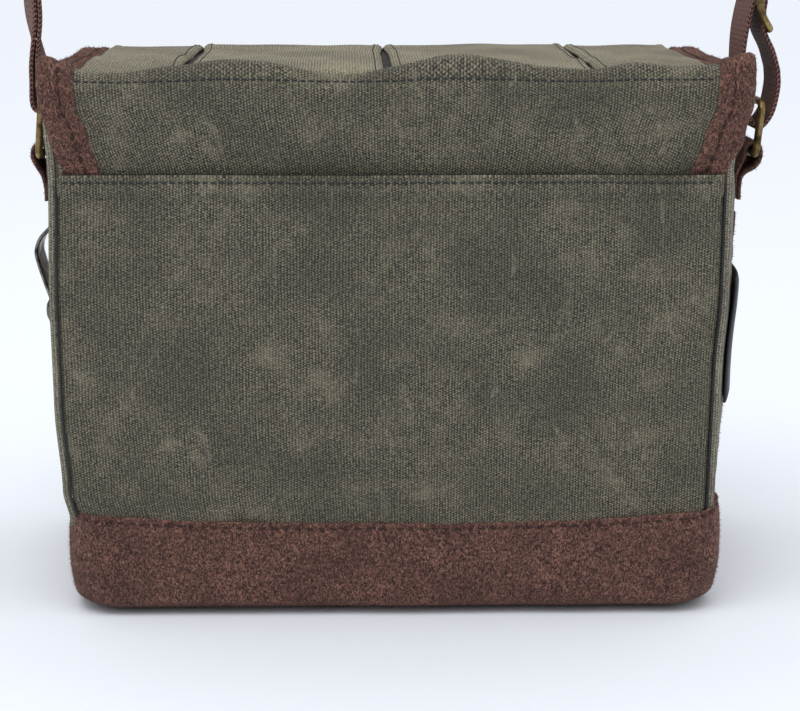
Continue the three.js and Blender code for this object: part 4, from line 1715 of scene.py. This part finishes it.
@dataclass
class Flap:
    """The hinged flap: canvas between two suede bands, hemmed panels on top, a hem band and a lining."""

    canvas: float = 1.8 * MM
    suede: float = 1.6 * MM
    stitch_inset: float = 5.3 * MM
    slits: tuple[float, ...] = (-0.0800, -0.0030, 0.0750)
    panel_ends: tuple[float, float] = (-0.1195, 0.1195)
    hem_row: float = 3.2 * MM
    slit_shade_width: float = 9 * MM
    hem_width: float = 14 * MM
    lining_half: float = 0.1190

    def canvas_part(self, name: str, low: float, high: float, nodes: Sequence[str], fold: Fold) -> None:
        """Makes one length of the canvas.

        Args:
            name: The piece's name.
            low: Where it starts, from the root.
            high: Where it ends.
            nodes: The CAD nodes that it stands for.
            fold: Where it bends.
        """

        def surface(u: float, v: float) -> Vector:
            """The canvas's outside."""
            run = mix(low, high, v)
            return FLAP.point((2 * u - 1) * (FLAP.half(run, inner=True) + 4 * MM), run)

        mesh = MAKE.sheet(name, surface, (0.249, high - low), self.canvas, 1.8 * MM)
        fold.bend(MAKE.finish_piece(name, mesh, CANVAS, nodes=nodes))

    def band(self, side: Side, name: str, low: float, high: float, nodes: Sequence[str], fold: Fold) -> None:
        """Makes one length of a suede side band with its stitches.

        Args:
            side: Which side.
            name: The piece's name.
            low: Where it starts, from the root.
            high: Where it ends.
            nodes: The CAD nodes that it stands for.
            fold: Where it bends.
        """

        def surface(u: float, v: float) -> Vector:
            """The band's outside.

            Args:
                u: The share across, from 0 to 1.
                v: The share along, from 0 to 1.

            Returns:
                The point.
            """
            run = mix(low, high, v)
            inner, outer = FLAP.half(run, inner=True), FLAP.half(run)
            share = u if side is Side.RIGHT else 1 - u
            x = side.value * mix(inner, outer, share)
            roll = 1.0 * MM * (smooth(share, 0.86, 1.0) + smooth(share, 0.14, 0.0))
            sewn = (share * (outer - inner) - self.stitch_inset) / (1.1 * MM)
            groove = 0.7 * MM * ridge(sewn, 0, 1)
            return FLAP.point(x, run, 2.0 * MM - roll - groove + 0.4 * MM * lumps(x, run, 0.009, 17))

        mesh = MAKE.sheet(name, surface, (0.0155, high - low), self.suede, 1.3 * MM)
        fold.bend(MAKE.finish_piece(name, mesh, SUEDE, nodes=nodes))
        count = round((high - low) / (3 * MM))
        line = []
        for k in range(count + 1):
            run = mix(low, high, k / count)
            line.append(FLAP.point(side.value * (FLAP.half(run, inner=True) + self.stitch_inset), run, 1.6 * MM))
        fold.bend(MAKE.stitches(f"{name}_stitches", line, SUEDE_ROW))

    def crest_stitches(self) -> None:
        """Makes the topstitch a little below the crest."""
        half = FLAP.half(FLAP.crest_start, inner=True)
        run = FLAP.crest_start + FLAP.row_below
        line = [FLAP.point(mix(-half, half, k / 150), run, 0.5 * MM) for k in range(151)]
        CREST_FOLD.bend(MAKE.stitches("flap_crest_stitches", line, CANVAS_ROW))

    def slit_half(self, number: int, run_share: float) -> float:
        """Half a slit's width: each gapes behind the crest and closes at the front."""
        gape = 0.7 * MM if number == 2 else 1.5 * MM
        return 0.25 * MM + gape * smooth(run_share, 1.0, 0.7)

    def panels(self) -> None:
        """Makes the four hemmed panels on top, the near-black sheets under the slits that paint their shade, and the
        hems' stitches.
        """
        edges = [self.panel_ends[0], *self.slits, self.panel_ends[1]]
        low, high = FLAP.crest_end + 4.5 * MM, FLAP.lip_start + 3.0 * MM
        for number, (left, right) in enumerate(zip(edges, edges[1:])):

            def surface(u: float, v: float, number: int = number, left: float = left,
                        right: float = right) -> Vector:
                """The panel's outside.

                Args:
                    u: The share across, from 0 to 1.
                    v: The share along, from 0 to 1.
                    number: Which piece.
                    left: Its left edge.
                    right: Its right edge.

                Returns:
                    The point.
                """
                start = left + (self.slit_half(number - 1, v) if number else 0)
                end = right - (self.slit_half(number, v) if number < 3 else 0)
                x = mix(start, end, u)
                edge = min(x - start, end - x)
                hem = 0.35 * MM * (1 - smooth(edge, 3.6 * MM, 4.6 * MM))
                roll = 0.5 * MM * (1 - smooth(edge, 0, 1.3 * MM)) + 0.6 * MM * (1 - smooth(1 - v, 0, 0.03))
                puff = 1.1 * MM * math.sin(math.pi * u) * math.sin(math.pi * v)
                soft = 0.9 * MM * lumps(x, v * 0.12, 0.028, 40 + number) * smooth(v, 0, 0.3)
                lift = mix(1.2, 2.7, smooth(v, 0, 0.25)) * MM
                return FLAP.point(x, mix(low, high, v), lift + hem + puff + soft - roll)

            name = f"flap_top_panel_{number + 1}"
            mesh = MAKE.sheet(f"{name}_cloth", surface, (right - left, high - low), 2.2 * MM, 1.6 * MM)
            # The panels wear the paler copy of the canvas, which paints the light from above.
            MAKE.finish_piece(f"{name}_cloth", mesh, LIT_TOP_CANVAS, "flap_top", [name])
            rows = [("left", self.hem_row)] if number else []
            rows += [("right", right - left - self.hem_row)] if number < 3 else []
            for tag, at in rows:
                share = at / (right - left)
                line = [surface(share, k / 40) + Vector((0, 0, 0.05 * MM)) for k in range(41)]
                MAKE.stitches(f"{name}_{tag}_stitches", line, PANEL_ROW, "flap_top")
        for number, middle in enumerate(self.slits):

            def strip(u: float, v: float, middle: float = middle) -> Vector:
                """The outside of the near-black sheet that paints the shade in a slit."""
                return FLAP.point(middle + (u - 0.5) * self.slit_shade_width, mix(low, high, v), 0.7 * MM)

            # A near-black sheet under each slit paints the shade between the panels.
            name = f"slit_lining_{number + 1}"
            mesh = MAKE.sheet(name, strip, (self.slit_shade_width, high - low), 0.5 * MM, 2 * MM)
            MAKE.finish_piece(name, mesh, PAINTED_SHADE_CLOTH, "flap_top")

    def front_hem(self) -> None:
        """Makes the suede band along the flap's lower edge."""
        low, high = FLAP.total - self.hem_width, FLAP.total

        def surface(u: float, v: float) -> Vector:
            """The band's outside.

            Args:
                u: The share across, from 0 to 1.
                v: The share along, from 0 to 1.

            Returns:
                The point.
            """
            run = mix(low, high, v)
            x = (2 * u - 1) * (FLAP.half(run) + 0.3 * MM)
            return FLAP.point(x, run, 3.6 * MM + 0.25 * MM * lumps(x, run, 0.009, 18))

        mesh = MAKE.sheet("flap_front_hem_band", surface, (0.273, high - low), self.suede, 1.6 * MM)
        MAKE.finish_piece("flap_front_hem_band", mesh, SUEDE, "flap_front", ["flap_front_hem"])
        line = [FLAP.point(mix(-0.133, 0.133, k / 150), low + 2.4 * MM, 3.8 * MM) for k in range(151)]
        MAKE.stitches("flap_front_hem_stitches", line, SUEDE_ROW, "flap_front")

    def lining(self) -> None:
        """Makes the lining behind the top and the front."""
        low, high = FLAP.crest_end + 7 * MM, FLAP.total - 4 * MM

        def surface(u: float, v: float) -> Vector:
            """The lining's outer face, which lies against the canvas."""
            return FLAP.point((2 * u - 1) * self.lining_half, mix(low, high, v), -self.canvas - 0.2 * MM)

        mesh = MAKE.sheet("flap_lining_cloth", surface, (2 * self.lining_half, high - low), 1.0 * MM, 2.6 * MM)
        nodes = ["flap_top_lining", "flap_front_lining"]
        LIP_FOLD.bend(MAKE.finish_piece("flap_lining_cloth", mesh, LINING, nodes=nodes))

    def build(self) -> None:
        """Makes the whole flap."""
        self.canvas_part("flap_rear_canvas", 0.0, FLAP.middle, ["flap_back_canvas"], CREST_FOLD)
        self.canvas_part("flap_fore_canvas", FLAP.middle, FLAP.total, ["flap_top_canvas", "flap_front_canvas"],
                         LIP_FOLD)
        for side in Side:
            self.band(side, f"flap_rear_band_{side.word}", 0.0, FLAP.middle, [f"flap_back_band_{side.word}"],
                      CREST_FOLD)
            self.band(side, f"flap_fore_band_{side.word}", FLAP.middle, FLAP.total,
                      [f"flap_top_band_{side.word}", f"flap_front_band_{side.word}"], LIP_FOLD)
        self.crest_stitches()
        self.panels()
        self.front_hem()
        self.lining()


@dataclass
class Closure:
    """Two suede tabs on the flap's front, each with a domed cap, a socket and a stud on the front pocket."""

    thick: float = 1.7 * MM

    def tab(self, side: Side) -> None:
        """Makes one tab with a round lower end.

        Args:
            side: Which side.
        """
        node = f"closure_tab_{side.word}"
        low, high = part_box(node)
        middle, half = (low[0] + high[0]) / 2, (high[0] - low[0]) / 2
        foot, top = low[2], high[2]

        def surface(u: float, v: float) -> Vector:
            """The tab's outside.

            Args:
                u: The share across, from 0 to 1.
                v: The share along, from 0 to 1.

            Returns:
                The point.
            """
            z = mix(top, foot, v)
            near = max(0.0, 1 - (z - foot) / half)
            reach = half * math.sqrt(max(0.03, 1 - near ** 2))
            x = middle + (2 * u - 1) * reach
            return Vector((x, high[1] + 0.3 * MM * lumps(x, z, 0.012, 51), z))

        mesh = MAKE.sheet(f"{node}_suede", surface, (2 * half, top - foot), self.thick, 1.3 * MM)
        MAKE.finish_piece(f"{node}_suede", mesh, SUEDE, "flap_front", [node])

    def snap(self, part: str, side: Side, outline: Sequence[tuple[float, float]], facing: int, body: str) -> None:
        """Makes one turned part of a snap.

        Args:
            part: The node's name without its side.
            side: Which side.
            outline: Pairs of radius and height, as shares of the node's own radius and depth.
            facing: 1 where it looks to the front, -1 to the back.
            body: The body it rides on.
        """
        node = f"{part}_{side.word}"
        low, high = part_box(node)
        centre = Vector(((low[0] + high[0]) / 2, low[1] if facing > 0 else high[1], (low[2] + high[2]) / 2))
        radius, depth = (high[0] - low[0]) / 2, high[1] - low[1]
        real = [(r * radius, h * depth) for r, h in outline]
        mesh = MAKE.turned(f"{node}_metal", centre, Vector((0, facing, 0)), real)
        MAKE.finish_piece(f"{node}_metal", mesh, BRASS, body, [node])

    def build(self) -> None:
        """Makes both closures."""
        dome = [(math.cos(a), 0.35 + 0.65 * math.sin(a)) for a in (0.0, 0.3, 0.6, 0.9, 1.2, 1.4)]
        cap = [(0.9, 0.0), (1.0, 0.12), *dome]
        socket = [(1.0, 0.0), (1.0, 0.5), (0.92, 0.75), (0.7, 1.0), (0.5, 1.0), (0.44, 0.55), (0.2, 0.5)]
        stud = [(1.0, 0.0), (1.0, 0.3), (0.55, 0.4), (0.42, 0.6), (0.5, 0.8), (0.4, 1.0), (0.15, 1.0)]
        for side in Side:
            self.tab(side)
            self.snap("snap_cap", side, cap, 1, "flap_front")
            self.snap("snap_socket", side, socket, -1, "flap_front")
            self.snap("snap_stud", side, stud, 1, "bag")


@dataclass
class Hardware:
    """The rings at the sides and the suede tabs that hold them."""

    left_x: float = -0.1412
    right_x: float = 0.1448
    pivot_z: float = 0.1745
    bars: float = 0.0210
    width: float = 0.0315
    wire: float = 1.55 * MM
    corner: float = 3.5 * MM
    lean: float = math.radians(5)

    def on_ring(self, side: Side, y: float, up: float) -> Vector:
        """A point in the plane of a ring.

        Args:
            side: Which ring.
            y: Front to back.
            up: How far up from its lower bar.

        Returns:
            The point.
        """
        base = self.left_x if side is Side.LEFT else self.right_x
        return Vector((base + up * math.sin(self.lean), y, self.pivot_z + up * math.cos(self.lean)))

    def ring(self, side: Side) -> None:
        """Makes one rounded rectangular ring of thick wire.

        Args:
            side: Which ring.
        """
        loop = rounded_loop(self.width / 2 - self.wire / 2, 0.0, self.bars, self.corner, 6, 2 * MM)
        line = [self.on_ring(side, y, up) for y, up in loop]
        plane = Vector((math.cos(self.lean), 0, -math.sin(self.lean)))
        name = f"ring_{side.word}"
        mesh = MAKE.sweep(f"{name}_wire", line, round_section(self.wire), across=plane, closed=True)
        MAKE.finish_piece(f"{name}_wire", mesh, BRASS, name, [name])

    def tab(self, side: Side) -> None:
        """Makes the suede tab folded round a ring's lower bar.

        Args:
            side: Which side.
        """
        pivot = abs(self.left_x if side is Side.LEFT else self.right_x)
        face = FORM.side_half(side, 0.16)
        points = [(face + 2.9 * MM, 0.1560), (face + 2.9 * MM, 0.1610), (face + 3.9 * MM, 0.1660),
                  (pivot + 1.4 * MM, 0.1696), (pivot + 3.2 * MM, 0.1735), (pivot + 2.6 * MM, 0.1775),
                  (pivot, 0.1789), (pivot - 2.7 * MM, 0.1774), (pivot - 3.3 * MM, 0.1737),
                  (face + 1.8 * MM, 0.1676), (face + 1.1 * MM, 0.1640), (face + 1.1 * MM, 0.1565)]
        path = smooth_path([(side.value * x, 0, z) for x, z in points], 0.9 * MM)
        name = f"ring_tab_{side.word}"
        mesh = MAKE.sweep(f"{name}_suede", path, flat_section(22 * MM, 1.5 * MM), across=Vector((0, 1, 0)))
        MAKE.finish_piece(f"{name}_suede", mesh, SUEDE, "bag", [name])

    def build(self) -> None:
        """Makes both rings with their tabs."""
        for side in Side:
            self.ring(side)
            self.tab(side)


@dataclass
class Strap:
    """The webbing strap, which stands as an arch, and the slider that sets its length."""

    width: float = 25 * MM
    thick: float = 1.8 * MM
    arch_centre: tuple[float, float] = (0.00183, 0.4144)
    arch_radius: float = 0.1665
    slider_base: tuple[float, float] = (0.14350, 0.19542)
    slider_at: float = 0.0395
    slider_half: float = 0.0105
    slider_width: float = 0.0146
    slider_bow: float = 2.7 * MM
    lean: float = math.radians(5)

    def on_leg(self, along: float, off: float, y: float = 0.0) -> Vector:
        """A point beside the right leg.

        Args:
            along: How far up the leg from the ring's upper bar.
            off: How far outward from it.
            y: Front to back.

        Returns:
            The point.
        """
        return Vector((self.slider_base[0] + along * math.sin(self.lean) + off * math.cos(self.lean), y,
                       self.slider_base[1] + along * math.cos(self.lean) - off * math.sin(self.lean)))

    def webbing(self) -> None:
        """Makes the one long strip: sewn round the left ring, over the arch and looped through the right ring."""
        left = [(-0.1436, 0.2600), (-0.1428, 0.2400), (-0.1418, 0.2200), (-0.1406, 0.2060), (-0.1386, 0.1965),
                (-0.1392, 0.1932), (-0.1410, 0.1921), (-0.1428, 0.1932), (-0.1436, 0.1965), (-0.1434, 0.2060),
                (-0.1440, 0.2220), (-0.1449, 0.2400), (-0.1457, 0.2600), (-0.1480, 0.2850), (-0.1522, 0.3200),
                (-0.1586, 0.3650)]
        angles = [math.radians(180 - 10 * k) for k in range(19)]
        arch = [(self.arch_centre[0] + self.arch_radius * math.cos(a),
                 self.arch_centre[1] + self.arch_radius * math.sin(a)) for a in angles]
        leg = [(point.x, point.z) for point in (self.on_leg(0.190 - 0.015 * k, 0) for k in range(9))]
        right = [(0.1483, 0.2580), (0.1460, 0.2480), (0.1420, 0.2370), (0.1396, 0.2250), (0.1388, 0.2150),
                 (0.1390, 0.2060), (0.1412, 0.1925), (0.1460, 0.1850), (0.1512, 0.1905), (0.1534, 0.2010),
                 (0.1530, 0.2080)]
        path = smooth_path([(x, 0, z) for x, z in left + arch + leg + right], 2.2 * MM)

        def twist(share: float) -> float:
            """How far the strip is turned about its own line: it leans a little where it hangs free.

            Args:
                share: How far along the strip, from 0 to 1.

            Returns:
                Radians.
            """
            here = round(share * (len(path) - 1))
            at, heading = path[here], path[min(here + 1, len(path) - 1)].z - path[max(here - 1, 0)].z
            rise = smooth(at.z, 0.206, 0.232) * smooth(at.z, 0.36, 0.28)
            return math.copysign(rise * math.radians(17 if at.x < 0 else 3), heading)

        mesh = MAKE.sweep("strap_webbing", path, flat_section(self.width, self.thick), across=Vector((0, 1, 0)),
                          twist=twist)
        nodes = ["strap_left_leg", "strap_arch", "strap_right_leg"]
        MAKE.finish_piece("strap_webbing", mesh, WEBBING, "strap", nodes)

    def returning(self) -> None:
        """Makes the run from the right ring's loop to the slider's middle bar."""
        path = smooth_path([(0.1530, 0, 0.2080), (0.1506, 0, 0.2155), (0.1468, 0, 0.2235), (0.1464, 0, 0.2310),
                            (0.1468, 0, 0.2350), (0.1460, 0, 0.2375), (0.1447, 0, 0.2381)], 1.2 * MM)
        mesh = MAKE.sweep("strap_return_run", path, flat_section(self.width, self.thick), across=Vector((0, 1, 0)))
        piece = MAKE.finish_piece("strap_return_run", mesh, WEBBING, nodes=["strap_return"])
        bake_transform(piece)

    def slider(self) -> None:
        """Makes the cast slider: a bowed frame with a straight middle bar."""
        line = []
        for y, up in rounded_loop(self.slider_width, -self.slider_half, self.slider_half, 3 * MM, 5, 1.5 * MM):
            bowed = self.slider_bow * (2 * (up / self.slider_half) ** 2 - 1)
            line.append(self.on_leg(self.slider_at + up, bowed, y))
        mesh = MAKE.sweep("slider_frame", line, round_section(1.5 * MM), across=Vector((1, 0, 0)), closed=True)
        MAKE.finish_piece("slider_frame", mesh, BRASS, "slider", ["strap_slider"])
        bar = [self.on_leg(self.slider_at, -self.slider_bow, mix(-self.slider_width, self.slider_width, k / 12))
               for k in range(13)]
        mesh = MAKE.sweep("slider_bar", bar, round_section(1.4 * MM), across=Vector((1, 0, 0)))
        MAKE.finish_piece("slider_bar", mesh, BRASS, "slider")

    def build(self) -> None:
        """Makes the strap and its slider."""
        self.webbing()
        self.returning()
        self.slider()


# ---------------------------------------------------------------- stage, light and camera


@dataclass(frozen=True)
class Studio:
    """A plain pale floor, a pale sky and one soft lamp, with the camera behind the bag and a little above it."""

    floor: Finish = Paper()
    sky: str = "fbfbfd"
    horizon: float = 0.30
    zenith: float = 1.70
    beside: float = 0.6
    camera_at: tuple[float, float, float] = (-0.0200, -0.7633, 0.2656)
    yaw: float = math.radians(0.9)
    pitch: float = math.radians(-13)
    shift: float = 0.0338
    lens: float = 84.6

    def ground(self) -> None:
        """Makes the floor."""
        mesh = bpy.data.meshes.new("studio_floor")
        shape = bmesh.new()
        bmesh.ops.create_grid(shape, x_segments=4, y_segments=4, size=12.0)
        shape.to_mesh(mesh)
        shape.free()
        mesh.materials.append(self.floor.material())
        floor = bpy.data.objects.new("studio_floor", mesh)
        floor.location.z = -0.3 * MM
        bpy.context.scene.collection.objects.link(floor)

    def lamp(self, name: str, at: tuple[float, float, float], size: float, power: float) -> None:
        """Adds one square soft lamp aimed at the bag.

        Args:
            name: The lamp's name.
            at: Where it stands.
            size: Its side.
            power: In watts.
        """
        light = bpy.data.lights.new(name, "AREA")
        light.shape = "SQUARE"
        light.size = size
        light.energy = power
        lamp = bpy.data.objects.new(name, light)
        lamp.location = at
        lamp.rotation_euler = (Vector((0, 0, 0.1)) - Vector(at)).to_track_quat("-Z", "Y").to_euler()
        bpy.context.scene.collection.objects.link(lamp)

    def build(self) -> None:
        """Sets the floor, the light and the camera."""
        self.ground()
        self.lamp("overhead_softbox", (-0.25, -0.55, 1.35), 0.8, 4.5)
        world = bpy.data.worlds.new("pale_studio")
        world.use_nodes = True
        background = world.node_tree.nodes["Background"]
        background.inputs["Color"].default_value = srgb(self.sky)
        add = partial(add_node, world.node_tree)
        toward = add("ShaderNodeTexCoord", out="Generated")
        rise = add(SPLIT, {0: toward}, "Z")
        across = add(MATH, {0: add(SPLIT, {0: toward}, "X")}, operation="ABSOLUTE")
        beside = add(MATH, {0: add(MATH, {0: across, 1: 4.0}, operation="POWER"), 1: self.beside, 2: self.horizon},
                     operation="MULTIPLY_ADD")
        power = add(MATH, {0: add(MATH, {0: rise, 1: 0.0}, operation="MAXIMUM"), 1: 2.0}, operation="POWER")
        strength = add(MATH, {0: power, 1: self.zenith - self.horizon, 2: beside}, operation="MULTIPLY_ADD")
        world.node_tree.links.new(strength, background.inputs["Strength"])
        bpy.context.scene.world = world
        camera = bpy.data.cameras.new("studio_camera")
        camera.lens = self.lens
        camera.sensor_width = 36.0
        camera.shift_x = self.shift
        eye = bpy.data.objects.new("studio_camera", camera)
        eye.location = self.camera_at
        eye.rotation_euler = (math.pi / 2 + self.pitch, 0, -self.yaw)
        bpy.context.scene.collection.objects.link(eye)
        bpy.context.scene.camera = eye
        bpy.context.scene.view_settings.view_transform = "Standard"


def main() -> None:
    """Builds the whole bag and its studio."""
    logging.basicConfig(level=logging.INFO, format="%(message)s")
    for part in (Boot(), Walls(), Insert(), SideTrim(), Flap(), Closure(), Hardware(), Strap(), Studio()):
        part.build()
        LOG.info("built %s", type(part).__name__)


if __name__ == "__main__":
    main()
